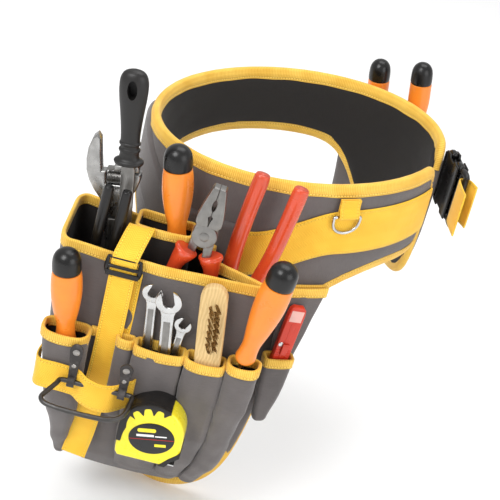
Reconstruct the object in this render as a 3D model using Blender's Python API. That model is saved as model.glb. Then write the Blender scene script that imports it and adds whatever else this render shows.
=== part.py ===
"""A padded waist tool belt with a hanging tool pouch, its tools and its side-release buckle.

The belt is an oval ring in plan. +X runs to the buckle end, -Y is the pouch side, +Z is up, and the
origin is the middle of the oval at the height of the webbing. Lengths are millimetres until solid()
writes them as metres.
"""

import math

import bmesh
import bpy
import numpy as np
from mathutils import Matrix, Vector

MM = 0.001
GAP = 0.4

# The oval of the belt: half axes, the turn of the long axis from +X, and the two ends as plan angles.
OVAL_LONG = 160.0
OVAL_SHORT = 125.0
OVAL_TURN = math.radians(35)
NEAR_END = -46.0
FAR_END = -389.0
SHELL_OUT = 3.0
SHELL_IN = -3.0
LINING_OUT = SHELL_IN - GAP
LINING_IN = -6.8
BINDING_LEG = 10.5
BINDING_THICK = 1.5
EDGE_GAP = 0.9

WEBBING_HALF = 25.0
WEBBING_THICK = 1.7
WEBBING_OUT = SHELL_OUT + EDGE_GAP

# The pouch: rims and walls.
RIM_Z = -28.0
FABRIC = 2.4
FRONT_RIM_Z = -112.0
TAPE_LEG = 10.0
TAPE_THICK = 1.2
SKEW_FROM = -60.0
MAIN_SKEW = 0.27

# Driver handles: length, radii at the neck, belly and cap.
DRIVER_LARGE = (104.0, 9.5, 15.8, 13.2)
DRIVER_SMALL = (96.0, 7.5, 12.6, 11.2)
DRIVER_WIDE = (118.0, 9.4, 16.2, 13.6)
CAP_LENGTH = 24.0

COLOURS = {
    "grey_fabric": (0.16, 0.14, 0.14, 0.9, 0.0),
    "black_fabric": (0.02, 0.02, 0.02, 0.95, 0.0),
    "yellow_webbing": (0.85, 0.55, 0.05, 0.8, 0.0),
    "black_plastic": (0.02, 0.02, 0.02, 0.4, 0.0),
    "orange_plastic": (0.9, 0.32, 0.03, 0.4, 0.0),
    "red_plastic": (0.75, 0.09, 0.02, 0.35, 0.0),
    "chrome_steel": (0.8, 0.8, 0.8, 0.15, 1.0),
    "grey_steel": (0.35, 0.35, 0.36, 0.4, 1.0),
    "dark_leather": (0.06, 0.05, 0.05, 0.6, 0.0),
    "pale_wood": (0.7, 0.55, 0.3, 0.6, 0.0),
    "brass_bristle": (0.35, 0.2, 0.06, 0.6, 0.3),
    "yellow_plastic": (0.95, 0.8, 0.05, 0.35, 0.0),
}


def clear_scene():
    for obj in list(bpy.data.objects):
        bpy.data.objects.remove(obj, do_unlink=True)


def material(name):
    found = bpy.data.materials.get(name)
    if found:
        return found
    red, green, blue, rough, metal = COLOURS[name]
    made = bpy.data.materials.new(name)
    made.use_nodes = True
    shader = made.node_tree.nodes["Principled BSDF"]
    shader.inputs["Base Color"].default_value = (red, green, blue, 1)
    shader.inputs["Roughness"].default_value = rough
    shader.inputs["Metallic"].default_value = metal
    return made


def solid(name, points, faces, finish, place=None):
    """One closed body from points in millimetres in the frame place, which also sits on its axis."""
    place = place or Matrix()
    mesh = bpy.data.meshes.new(name)
    mesh.from_pydata([Vector(p) * MM for p in points], [], faces)
    work = bmesh.new()
    work.from_mesh(mesh)
    bmesh.ops.remove_doubles(work, verts=work.verts, dist=1e-7)
    bmesh.ops.triangulate(work, faces=work.faces)
    bmesh.ops.recalc_face_normals(work, faces=work.faces)
    if work.calc_volume(signed=True) < 0:
        bmesh.ops.reverse_faces(work, faces=work.faces)
    work.to_mesh(mesh)
    work.free()
    mesh.materials.append(material(finish))
    obj = bpy.data.objects.new(name, mesh)
    bpy.context.scene.collection.objects.link(obj)
    where = place.copy()
    where.translation = place.translation * MM
    obj.matrix_world = where
    return obj


def rings(name, loops, finish, place=None, flat_caps=False, joined=False):
    """A body through loops of equal length, capped by strips of quads, by n-gons, or joined round."""
    count = len(loops[0])
    points = [p for loop in loops for p in loop]
    faces = []
    for row in range(len(loops) - (0 if joined else 1)):
        here = row * count
        there = (row + 1) % len(loops) * count
        for i in range(count):
            j = (i + 1) % count
            faces.append((here + i, here + j, there + j, there + i))
    if joined:
        return solid(name, points, faces, finish, place)
    for start in (0, (len(loops) - 1) * count):
        if flat_caps:
            faces.append(tuple(range(start, start + count)))
            continue
        for i in range(count // 2 - 1):
            quad = (i, i + 1, count - 2 - i, count - 1 - i)
            corners = list(dict.fromkeys(start + k for k in quad))
            faces.append(tuple(corners))
    return solid(name, points, faces, finish, place)


def revolve(name, profile, finish, place=None, sides=14, turned=0.0):
    """A turned body about the local Z axis: profile is (height, radius) from the bottom up."""
    loops = []
    for height, radius in profile:
        loop = []
        for k in range(sides):
            angle = turned + 2 * math.pi * k / sides
            loop.append((radius * math.cos(angle), radius * math.sin(angle), height))
        loops.append(loop)
    return rings(name, loops, finish, place)


def plate(name, outline, thick, finish, place=None):
    """A flat plate in the local XZ plane, its thickness along Y about the middle."""
    loops = [[(x, y, z) for x, z in outline] for y in (-thick / 2, thick / 2)]
    return rings(name, loops, finish, place, flat_caps=True)


def box(name, low, high, finish, place=None):
    (x0, y0, z0), (x1, y1, z1) = low, high
    loops = [[(x0, y0, z), (x1, y0, z), (x1, y1, z), (x0, y1, z)] for z in (z0, z1)]
    return rings(name, loops, finish, place)


def tube(name, path, radius, finish, place=None, sides=8, joined=False):
    """A round rod along a path of points."""
    points = [Vector(p) for p in path]
    last = len(points) - 1
    side = None
    loops = []
    for i, point in enumerate(points):
        before = points[i - 1] if i or joined else point
        after = points[(i + 1) % len(points)] if i < last or joined else point
        along = (after - before).normalized()
        if side is None:
            side = along.orthogonal().normalized()
        side = (side - along * side.dot(along)).normalized()
        other = along.cross(side)
        loop = []
        for k in range(sides):
            angle = 2 * math.pi * k / sides
            loop.append(point + radius * (side * math.cos(angle) + other * math.sin(angle)))
        loops.append(loop)
    return rings(name, loops, finish, place, joined=joined)


def cut(obj, tool, operation="DIFFERENCE"):
    """Applies a Boolean of tool to obj and removes the tool."""
    modifier = obj.modifiers.new("cut", "BOOLEAN")
    modifier.operation = operation
    modifier.solver = "EXACT"
    modifier.object = tool
    bpy.context.view_layer.update()
    done = bpy.data.meshes.new_from_object(obj.evaluated_get(bpy.context.evaluated_depsgraph_get()))
    obj.modifiers.clear()
    obj.data = done
    bpy.data.objects.remove(tool, do_unlink=True)
    return obj


def frame(x, y, z, lean=0.0, tip=0.0, turn=0.0):
    """A frame at a point: lean tilts the top to +X, tip tilts it to -Y, turn spins about its own Z."""
    tilt = Matrix.Rotation(math.radians(lean), 4, "Y") @ Matrix.Rotation(math.radians(tip), 4, "X")
    return Matrix.Translation((x, y, z)) @ tilt @ Matrix.Rotation(math.radians(turn), 4, "Z")


def smooth(value):
    value = min(max(value, 0.0), 1.0)
    return value * value * (3 - 2 * value)


# ---- The surface of the belt -------------------------------------------------------------------


def oval(degrees):
    t = math.radians(degrees)
    x = OVAL_LONG * math.cos(t)
    y = OVAL_SHORT * math.sin(t)
    return (
        x * math.cos(OVAL_TURN) - y * math.sin(OVAL_TURN),
        x * math.sin(OVAL_TURN) + y * math.cos(OVAL_TURN),
    )


def skin(degrees, z, out):
    """The point at a height and a distance outside the middle of the belt shell."""
    x, y = oval(degrees)
    ax, ay = oval(degrees + 0.5)
    bx, by = oval(degrees - 0.5)
    dx, dy = ax - bx, ay - by
    length = math.hypot(dx, dy)
    return (x + dy / length * out, y - dx / length * out, z)


# Lower edge of the belt and of the pouch panel, as (plan angle, height) from the near end round.
LOWER_EDGE = (
    (-46, -20), (-47.5, -36), (-50, -46), (-55, -51), (-72, -50), (-84, -56), (-94, -68), (-99, -80),
    (-102.5, -105), (-106, -150), (-110, -215), (-114, -272), (-118, -303), (-124, -323), (-132, -335),
    (-142, -340), (-156, -336), (-166, -322), (-172, -302), (-176, -270), (-178.5, -220),
    (-181, -150), (-184, -95), (-188, -68), (-194, -56), (-204, -51), (-212, -47), (-228, -36),
    (-245, -28), (-262, -23), (-295, -23), (-312, -27), (-322, -48), (-332, -88), (-345, -122),
    (-357, -136), (-369, -136), (-378, -122), (-384, -90), (-387, -55), (-388.5, -30), (-389, -20),
)
TOP_EDGE = (
    (-46, 20), (-47.5, 36), (-50, 45), (-55, 50), (-380, 50), (-384.5, 46), (-387.5, 36), (-389, 20),
)


def run_of(degrees):
    """Distance round the belt to a plan angle, near enough for laying out edges."""
    steps = np.arange(NEAR_END + 3, degrees - 0.01, -1.0)
    spots = np.array([oval(a) for a in [*steps, degrees]])
    return float(np.linalg.norm(np.diff(spots, axis=0), axis=1).sum())


def rounded_edge(table):
    """The table with its corners cut twice and only the points kept that its shape needs."""
    spots = np.array([(a, z) for a, z in table], float)
    for _ in range(2):
        ahead = spots[:-1] * 0.25 + spots[1:] * 0.75
        behind = spots[:-1] * 0.75 + spots[1:] * 0.25
        middle = np.stack([behind, ahead], axis=1).reshape(-1, 2)
        spots = np.concatenate([spots[:1], middle, spots[-1:]])
    flat = np.array([(run_of(a), z) for a, z in spots])
    kept = [0]
    heading = None
    for k in range(1, len(spots) - 1):
        step = flat[k] - flat[kept[-1]]
        ahead = flat[k + 1] - flat[k]
        if heading is None:
            heading = math.atan2(step[1], step[0])
        turn = abs(math.atan2(ahead[1], ahead[0]) - heading)
        if np.linalg.norm(step) > 5 and (turn > 0.22 or np.linalg.norm(step) > 13):
            kept.append(k)
            heading = math.atan2(ahead[1], ahead[0])
    kept.append(len(spots) - 1)
    dense = []
    for i, j in zip(kept, kept[1:]):
        parts = max(1, int(abs(spots[j][0] - spots[i][0]) / 5.5))
        dense += [spots[i] + (spots[j] - spots[i]) * k / parts for k in range(parts)]
    return [tuple(p) for p in [*dense, spots[-1]]]


LOWER = rounded_edge(LOWER_EDGE)
TOP = rounded_edge(TOP_EDGE)


def edge_height(edge, degrees):
    """The height of an edge, whose points run clockwise, so that their angles fall."""
    return float(np.interp(-degrees, [-a for a, _ in edge], [z for _, z in edge]))


def belt_columns():
    """The plan angles that every layer of the belt shares, so that the layers stay parallel."""
    ends = [a for a, _ in TOP if a > -56 or a < -379]
    return sorted({a for a, _ in LOWER} | set(ends), reverse=True)


def belt_layer(name, out_face, in_face, rows, finish):
    """One layer of the belt, both faces split into triangles the same way."""
    points = []
    columns = belt_columns()
    for degrees in columns:
        low = edge_height(LOWER, degrees)
        top = edge_height(TOP, degrees)
        heights = [low + (top - low) * k / rows for k in range(rows + 1)]
        points += [skin(degrees, z, out_face) for z in heights]
        points += [skin(degrees, z, in_face) for z in heights]
    faces = []
    step = 2 * (rows + 1)
    for column in range(len(columns) - 1):
        here, there = column * step, (column + 1) * step
        for face in (0, rows + 1):
            for k in range(face, face + rows):
                faces.append((here + k, here + k + 1, there + k + 1))
                faces.append((here + k, there + k + 1, there + k))
        for edge in (0, rows):
            faces.append((here + edge, there + edge, there + edge + rows + 1, here + edge + rows + 1))
    for start in (0, (len(columns) - 1) * step):
        for k in range(start, start + rows):
            faces.append((k, k + 1, k + rows + 2, k + rows + 1))
    return solid(name, points, faces, finish)


def edge_binding(name, edge, upward, finish):
    """A folded tape over one long edge: a U section set square to the edge."""
    flat = np.array([(run_of(a), z) for a, z in edge])
    run = flat[:, 0]
    angles = np.array([a for a, _ in edge])
    steps = np.diff(flat, axis=0)
    steps /= np.linalg.norm(steps, axis=1)[:, None]
    tangent = np.concatenate([steps[:1], steps[:-1] + steps[1:], steps[-1:]])
    tangent /= np.linalg.norm(tangent, axis=1)[:, None]
    side = np.stack([-tangent[:, 1], tangent[:, 0]], axis=1) * (-1 if upward else 1)
    outer = SHELL_OUT + EDGE_GAP
    inner = LINING_IN - EDGE_GAP
    fold = -EDGE_GAP - BINDING_THICK
    section = (
        (BINDING_LEG, outer + BINDING_THICK), (fold, outer + BINDING_THICK),
        (fold, inner - BINDING_THICK), (BINDING_LEG, inner - BINDING_THICK),
        (BINDING_LEG, inner), (-EDGE_GAP, inner), (-EDGE_GAP, outer), (BINDING_LEG, outer),
    )
    loops = []
    for k in range(len(edge)):
        loop = []
        for inward, out in section:
            s, z = flat[k] + side[k] * inward
            degrees = float(np.interp(s, run, angles))
            if s < run[0]:
                degrees = angles[0] + (run[0] - s) / 2.4
            if s > run[-1]:
                degrees = angles[-1] - (s - run[-1]) / 2.4
            loop.append(skin(degrees, z, out))
        loops.append(loop)
    return rings(name, loops, finish)


def band(name, angles, centre, half, out, thick, finish):
    """Webbing on the belt: a flat strip through the given plan angles."""
    loops = []
    for degrees in angles:
        z = centre(degrees)
        corners = [(z - half, out + thick), (z + half, out + thick), (z + half, out), (z - half, out)]
        loops.append([skin(degrees, h, o) for h, o in corners])
    return rings(name, loops, finish)


# ---- Soft vessels ------------------------------------------------------------------------------


def rounded(x0, x1, y0, y1, z, radius, front_bow=0.0, skew=0.0):
    """A rounded rectangle in plan, y0 the front: 4 points a corner, its front bowed out."""
    between = 6 if skew else 2
    radius = min(radius, (x1 - x0) / 2.05, (y1 - y0) / 2.05)
    loop = []
    for cx, cy, start in (
        (x1 - radius, y1 - radius, 0), (x0 + radius, y1 - radius, 90),
        (x0 + radius, y0 + radius, 180), (x1 - radius, y0 + radius, 270),
    ):
        for k in range(4):
            angle = math.radians(start + 30 * k)
            loop.append([cx + radius * math.cos(angle), cy + radius * math.sin(angle), z])
        if start in (0, 180):
            reach = (x1 - x0 - 2 * radius) * (1 if start else -1)
            loop += [[cx + reach * k / between, loop[-1][1], z] for k in range(1, between)]
    for spot in loop:
        across = (spot[0] - x0) / (x1 - x0)
        toward = (y1 - spot[1]) / (y1 - y0)
        spot[1] -= front_bow * max(0.0, 4 * across * (1 - across)) * toward
        spot[1] += skew * max(0.0, SKEW_FROM - spot[0]) * (1 - toward)
    return [tuple(spot) for spot in loop]


def vessel(name, levels, wall, finish, place=None, radius=6.0, bow=0.0, skew=0.0):
    """An open-topped fabric pocket: levels are (z, x0, x1, front, back) from the rim down."""
    inner = []
    outer = []
    for z, x0, x1, y0, y1 in levels:
        outer.append(rounded(x0, x1, y0, y1, z, radius, bow, skew))
        inset = (x0 + wall, x1 - wall, y0 + wall, y1 - wall)
        inner.append(rounded(*inset, z, max(radius - wall, 1.5), bow, skew))
    base = levels[-1][0] + wall
    x0, x1, y0, y1 = levels[-1][1:]
    inset = (x0 + wall, x1 - wall, y0 + wall, y1 - wall)
    inner[-1] = rounded(*inset, base, max(radius - wall, 1.5), bow, skew)
    return rings(name, list(reversed(inner)) + outer, finish, place)


def rim_tape(name, level, wall, finish, radius=6.0, bow=0.0, skew=0.0):
    """A folded tape round the rim of a vessel, closed all round."""
    z, x0, x1, y0, y1 = level
    outside = GAP + TAPE_THICK
    inside = -wall - outside
    loops = []
    for grow, h in (
        (outside, -TAPE_LEG), (outside, outside), (inside, outside), (inside, -TAPE_LEG),
        (-wall - GAP, -TAPE_LEG), (-wall - GAP, GAP), (GAP, GAP), (GAP, -TAPE_LEG),
    ):
        edge = (x0 - grow, x1 + grow, y0 - grow, y1 + grow)
        loops.append(rounded(*edge, z + h, max(radius + grow, 1.2), bow, skew))
    return rings(name, loops, finish, joined=True)


# ---- Tools -------------------------------------------------------------------------------------


def driver(name, place, size, blade_radius, blade_length):
    """A screwdriver handle with its blade, and the black cap pressed on its end."""
    length, neck, belly, cap = size
    body_top = length - CAP_LENGTH
    profile = [
        (-blade_length, blade_radius * 0.6), (-blade_length + 12, blade_radius), (-6, blade_radius),
        (-4, neck * 0.75), (0, neck), (length * 0.13, neck * 1.02), (length * 0.34, belly * 0.86),
        (length * 0.55, belly), (body_top - 3, cap), (body_top, cap - 0.3),
    ]
    revolve(name + "_handle", profile, "orange_plastic", place)
    base = body_top + GAP
    dome = [(base, cap - 0.2), (length - 9, cap - 1.0), (length - 3, cap * 0.78), (length, cap * 0.35)]
    revolve(name + "_cap", dome, "black_plastic", place)


def spanner(name, place, head, opening, length, thick):
    """An open-ended spanner: head up, a plain lower end."""
    half = head / 2
    shank = head * 0.2
    low = -length
    outline = [
        (-shank, low + 4), (-shank * 0.6, low), (shank * 0.6, low), (shank, low + 4), (shank, -head * 0.75),
        (half * 0.86, -head * 0.42), (half, -head * 0.08), (half * 0.88, head * 0.3),
        (opening * 0.62, head * 0.36), (opening / 2, -head * 0.12), (opening * 0.25, -head * 0.24),
        (-opening * 0.25, -head * 0.24), (-opening / 2, -head * 0.12), (-opening * 0.62, head * 0.36),
        (-half * 0.88, head * 0.3), (-half, -head * 0.08), (-half * 0.86, -head * 0.42),
        (-shank, -head * 0.75),
    ]
    return plate(name, outline, thick, "chrome_steel", place)


def build_belt():
    belt_layer("belt_shell", SHELL_OUT, SHELL_IN, 4, "grey_fabric")
    belt_layer("belt_lining", LINING_OUT, LINING_IN, 4, "black_fabric")
    edge_binding("belt_top_binding", TOP, True, "yellow_webbing")
    edge_binding("belt_lower_binding", LOWER, False, "yellow_webbing")


def webbing_centre(degrees):
    """The waist webbing dips behind the pouch and rises again on the far side."""
    if degrees > -150:
        return -34 * smooth((-96 - degrees) / 36)
    return -34 + 47.9 * smooth((-155 - degrees) / 45)


def build_webbing():
    angles = [a for a in belt_columns() if -330 <= a <= -50]
    band("waist_webbing", angles, webbing_centre, WEBBING_HALF, WEBBING_OUT, WEBBING_THICK,
         "yellow_webbing")
    tab = box("d_ring_tab", (-11, -5.6, 17), (11, 0, 40), "yellow_webbing", D_RING)
    cut(tab, tube("bore", [(-20, -3, 21), (20, -3, 21)], 2.3, "yellow_webbing", D_RING))
    path = [(-13, 0, 0), (13, 0, 0), (14.5, 0, -4), (13, 0, -11), (8, 0, -16), (0, 0, -18), (-8, 0, -16),
            (-13, 0, -11), (-14.5, 0, -4)]
    tube("d_ring", path, 1.6, "chrome_steel", D_RING @ Matrix.Translation((0, -3, 21)), 8, joined=True)


def on_skin(degrees, out, z=0.0):
    """A frame on the belt: local X along the belt to +X on the near side, local -Y outward."""
    x, y, _ = skin(degrees, z, out)
    inner = skin(degrees, z, out - 1)
    turn = math.atan2(y - inner[1], x - inner[0]) + math.pi / 2
    return Matrix.Translation((x, y, z)) @ Matrix.Rotation(turn, 4, "Z")


D_RING = on_skin(-96, WEBBING_OUT + WEBBING_THICK + GAP)
BUCKLE = Matrix.Translation((176, -5, 8)) @ Matrix.Rotation(math.radians(15.5), 4, "Z")


def strip(name, path, half, thick, finish, place=None):
    """A flat band along a path of (x, y), its width along Z."""
    points = [Vector(p) for p in path]
    loops = []
    for i, point in enumerate(points):
        before = points[max(i - 1, 0)]
        after = points[min(i + 1, len(points) - 1)]
        along = (after - before).normalized()
        side = Vector((along.y, -along.x)) * (thick / 2)
        a, b = point + side, point - side
        loops.append([(a.x, a.y, -half), (a.x, a.y, half), (b.x, b.y, half), (b.x, b.y, -half)])
    return rings(name, loops, finish, place)


def build_buckle():
    """Side-release buckle: local +Y runs from the tongue bar into the housing, +X is outward."""
    loop_path = [(-7.8, -29), (-7.4, -16), (-6.4, -4), (-5.2, 2.5), (-2.6, 5.4), (3.4, 5.6), (8.4, 3.6),
                 (12.5, -2), (15.5, -12)]
    strip("webbing_loop", loop_path, WEBBING_HALF, WEBBING_THICK, "yellow_webbing", BUCKLE)
    tongue = box("buckle_tongue", (-3.6, -3.5, -31), (3.6, 15, 31), "black_plastic", BUCKLE)
    cut(tongue, box("slot", (-9, 2.6, -26.5), (9, 8.6, 26.5), "black_plastic", BUCKLE))
    cut(tongue, box("guide", (-2.6, 14, -7), (2.6, 40, 7), "black_plastic", BUCKLE), "UNION")
    for side, name in ((1, "upper"), (-1, "lower")):
        root = BUCKLE @ Matrix.Translation((0, 15.8, 19 * side))
        arm = [(0, -2.6), (8, -1.6), (18, -0.4), (26, 0.6), (29.5, 3.0), (27, 6.8), (17, 7.2), (13, 3.4),
               (7, 2.2), (0, 2.0)]
        loops = [[(x, y, z * side) for y, z in arm] for x in (-2.6, 2.6)]
        rings("buckle_prong_" + name, loops, "black_plastic", root, flat_caps=True)
    housing = box("buckle_housing", (-6.2, 15.6, -31), (6.2, 60, 31), "black_plastic", BUCKLE)
    cut(housing, box("cavity", (-3.8, 15, -27), (3.8, 50, 27), "black_plastic", BUCKLE))
    cut(housing, box("windows", (-3.8, 30, -40), (3.8, 45, 40), "black_plastic", BUCKLE))
    cut(housing, box("rear", (-9, 53, -26), (9, 57, 26), "black_plastic", BUCKLE))


# ---- The pouch ---------------------------------------------------------------------------------

MAIN_LEVELS = (
    (RIM_Z, -199, 12, -203, -146), (-42, -199, 12, -203, -146), (-112, -198, 9, -206, -146),
    (-160, -191, 2, -206, -146), (-210, -182, -4, -200, -146), (-255, -172, -12, -190, -146),
    (-288, -162, -24, -178, -146), (-308, -150, -40, -166, -146),
)
MAIN_BOW = 3.0
FRONT_BACK = (-209.8, -209.8, -203.8, -194, -184.6)
FRONT_Z = (FRONT_RIM_Z, -160, -210, -255, -285)
KNIFE_POCKET = on_skin(-109, 0)
UPPER_POCKET = on_skin(-104, 0)
HIP = Matrix.Translation((93.5, 147.5, 0)) @ Matrix.Rotation(math.radians(156), 4, "Z")


def front_levels(x0, x1, depth, rim=FRONT_RIM_Z):
    """Levels of a pocket that hangs on the front wall of the main pocket and tapers with it."""
    shares = (1.0, 1.0, 0.8, 0.55, 0.35)
    rows = zip((rim, *FRONT_Z[1:]), x0, x1, FRONT_BACK, shares)
    return [(z, left, right, back - depth * share, back) for z, left, right, back, share in rows]


def build_pouch():
    skewed = {"radius": 12, "bow": MAIN_BOW, "skew": MAIN_SKEW}
    vessel("main_pocket", MAIN_LEVELS, FABRIC, "grey_fabric", **skewed)
    rim_tape("main_pocket_binding", MAIN_LEVELS[0], FABRIC, "yellow_webbing", **skewed)
    inner_levels = [(-8, -133, -77.4, -181, -149.4), (-40, -128, -77.4, -180.5, -149.4),
                    (-120, -118, -72, -178, -149.4)]
    vessel("inner_pocket", inner_levels, 1.8, "grey_fabric")
    left = front_levels((-197, -191, -183, -175, -170), (-151, -150, -151.5, -156, -158), 25.5)
    vessel("front_pocket_left", left, 1.8, "grey_fabric")
    middle = front_levels((-107, -107, -107, -107, -106), (-58, -58.5, -60, -62, -65), 16)
    vessel("front_pocket_spanners", middle, 1.8, "grey_fabric")
    brush = front_levels((-57, -57, -58, -60, -63), (-18, -19, -22, -29, -40), 17)
    vessel("front_pocket_brush", brush, 1.8, "grey_fabric")
    right = front_levels((-16.6, -17.5, -20.5, -27, -38), (15, 12, 6, -6, -20), 18.5, -105)
    vessel("front_pocket_driver", right, 1.8, "grey_fabric")
    upper = [(-60, -22, 22, -13.6, -6.4), (-120, -22, 8, -13.6, -6.4), (-172, -20, -2, -13, -6.4)]
    vessel("side_pocket_upper", upper, 1.5, "grey_fabric", UPPER_POCKET, radius=3)
    knife = [(-136, -16, 14, -29, -14.4), (-170, -15.5, 10, -28.5, -14.4), (-215, -12, 3, -25, -14.4)]
    vessel("side_pocket_knife", knife, 1.5, "grey_fabric", KNIFE_POCKET, radius=4)
    hip = [(22, -46, 46, -17, 15), (-40, -45, 45, -16, 15), (-90, -42, 42, -10, 15),
           (-112, -34, 34, -2, 15)]
    vessel("hip_pocket", hip, FABRIC, "grey_fabric", HIP, radius=8)


def ribbon(name, path, half, thick, finish):
    """Webbing that runs down a face: path of (x, y, z), its width along X."""
    loops = []
    for i, (x, y, z) in enumerate(path):
        before = path[max(i - 1, 0)]
        after = path[min(i + 1, len(path) - 1)]
        along = Vector((after[1] - before[1], after[2] - before[2])).normalized()
        dy, dz = -along.y * thick / 2, along.x * thick / 2
        loops.append([(x - half, y + dy, z + dz), (x + half, y + dy, z + dz),
                      (x + half, y - dy, z - dz), (x - half, y - dy, z - dz)])
    return rings(name, loops, finish)


LOCK = Matrix.Translation((-133, -212, -38))
HAMMER_AXIS = Matrix.Translation((-133, -244.4, -158))


def build_straps():
    path = [(-125, -182.4, -14), (-125.5, -183.4, -7), (-127, -192, -10), (-130, -203, -18),
            (-132, -210.4, -24), (-133, -212, -30), (-133, -212, -120), (-135, -211.4, -160),
            (-137.5, -206.8, -206), (-141, -198.4, -245), (-143, -193, -268), (-143.5, -191.6, -275)]
    ribbon("bag_strap", path, 12.5, 1.6, "yellow_webbing")
    lock = box("ladder_lock", (-16.5, -4.2, -9.5), (16.5, 3.6, 9.5), "black_plastic", LOCK)
    cut(lock, box("slot", (-13, -1.3, -12), (13, 1.3, 12), "black_plastic", LOCK))
    cut(lock, box("window", (-11.5, -6, -4.5), (11.5, 0, 4.5), "black_plastic", LOCK))
    band_path = [(-200.6, -222), (-200, -231), (-195.5, -236.4), (-187, -237.6), (-150, -237.6),
                 (-112, -237.2), (-104, -235.4), (-100, -231.6), (-98.6, -227.4)]
    strip("hammer_webbing", band_path, 16, WEBBING_THICK, "yellow_webbing",
          Matrix.Translation((0, 0, -152)))
    for name, x, top in (("left", -25, 42), ("right", 25, 33)):
        place = HAMMER_AXIS @ Matrix.Translation((x, 0, 0))
        tab = box("hammer_tab_" + name, (-5.5, 1.5, -2), (5.5, 4.6, top), "dark_leather", place)
        cut(tab, tube("eye", [(-5.5, 0, 0), (5.5, 0, 0)], 5.0, "dark_leather", place, 12), "UNION")
        cut(tab, tube("bore", [(-12, 0, 0), (12, 0, 0)], 3.1, "dark_leather", place, 12))
    wire = [(-34.5, 0), (-38, 7), (-44, 20), (-47, 28), (-44, 34), (-36, 37), (-20, 38.5), (4, 38.5),
            (20, 37), (29, 32), (34, 22), (35.5, 8), (34.5, 0)]
    path = [(x, -q * 0.989, -q * 0.148) for x, q in wire]
    tube("hammer_ring", [(0, 0, 0), *reversed(path)], 2.5, "grey_steel", HAMMER_AXIS, 8, joined=True)


# ---- Tools in the pouch ------------------------------------------------------------------------


def fill(obj, other):
    """Joins other into obj, leaving one closed body."""
    return cut(obj, other, "UNION")


def pivot_half(name, place, side, near, disc, handle, jaw, radius, finish):
    """One half of a pair of pliers about the local Y axis, its handle and jaw on opposite sides."""
    y0, y1 = (-near - 0.2, -0.2) if side > 0 else (0.2, near + 0.2)
    angles = [math.radians(15 + 30 * k) for k in range(12)]
    flat = {"finish": finish, "place": place, "flat_caps": True}
    half = rings(name, [[(disc * math.cos(a), y, disc * math.sin(a)) for a in angles] for y in (y0, y1)],
                 **flat)
    hx, hz = handle[0]
    sign = 1 if hz > 0 else -1
    neck = [(side * hx - 3.6, hz + 5 * sign), (side * hx + 3.6, hz + 5 * sign), (disc * 0.66, 0.7 * sign),
            (-disc * 0.66, 0.4 * sign)]
    fill(half, rings("neck", [[(x, y, z) for x, z in neck] for y in (y0 + 0.07, y1 - 0.05)], **flat))
    fill(half, tube("grip", [(side * x, 0, z) for x, z in handle], radius, finish, place, 10))
    edge = [(-side * x, z) for x, z in jaw]
    fill(half, rings("jaw", [[(x, y, z) for x, z in edge] for y in (-near, near)], **flat))
    reach = jaw[0][1] * 1.25
    root = [(-side * 0.5, reach), (-side * disc * 0.6, reach), (-side * disc * 0.7, -0.9 * sign),
            (-side * 0.6, -0.6 * sign)]
    fill(half, rings("root", [[(x, y, z) for x, z in root] for y in (y0 + 0.11, y1 - 0.09)], **flat))
    return half


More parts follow.
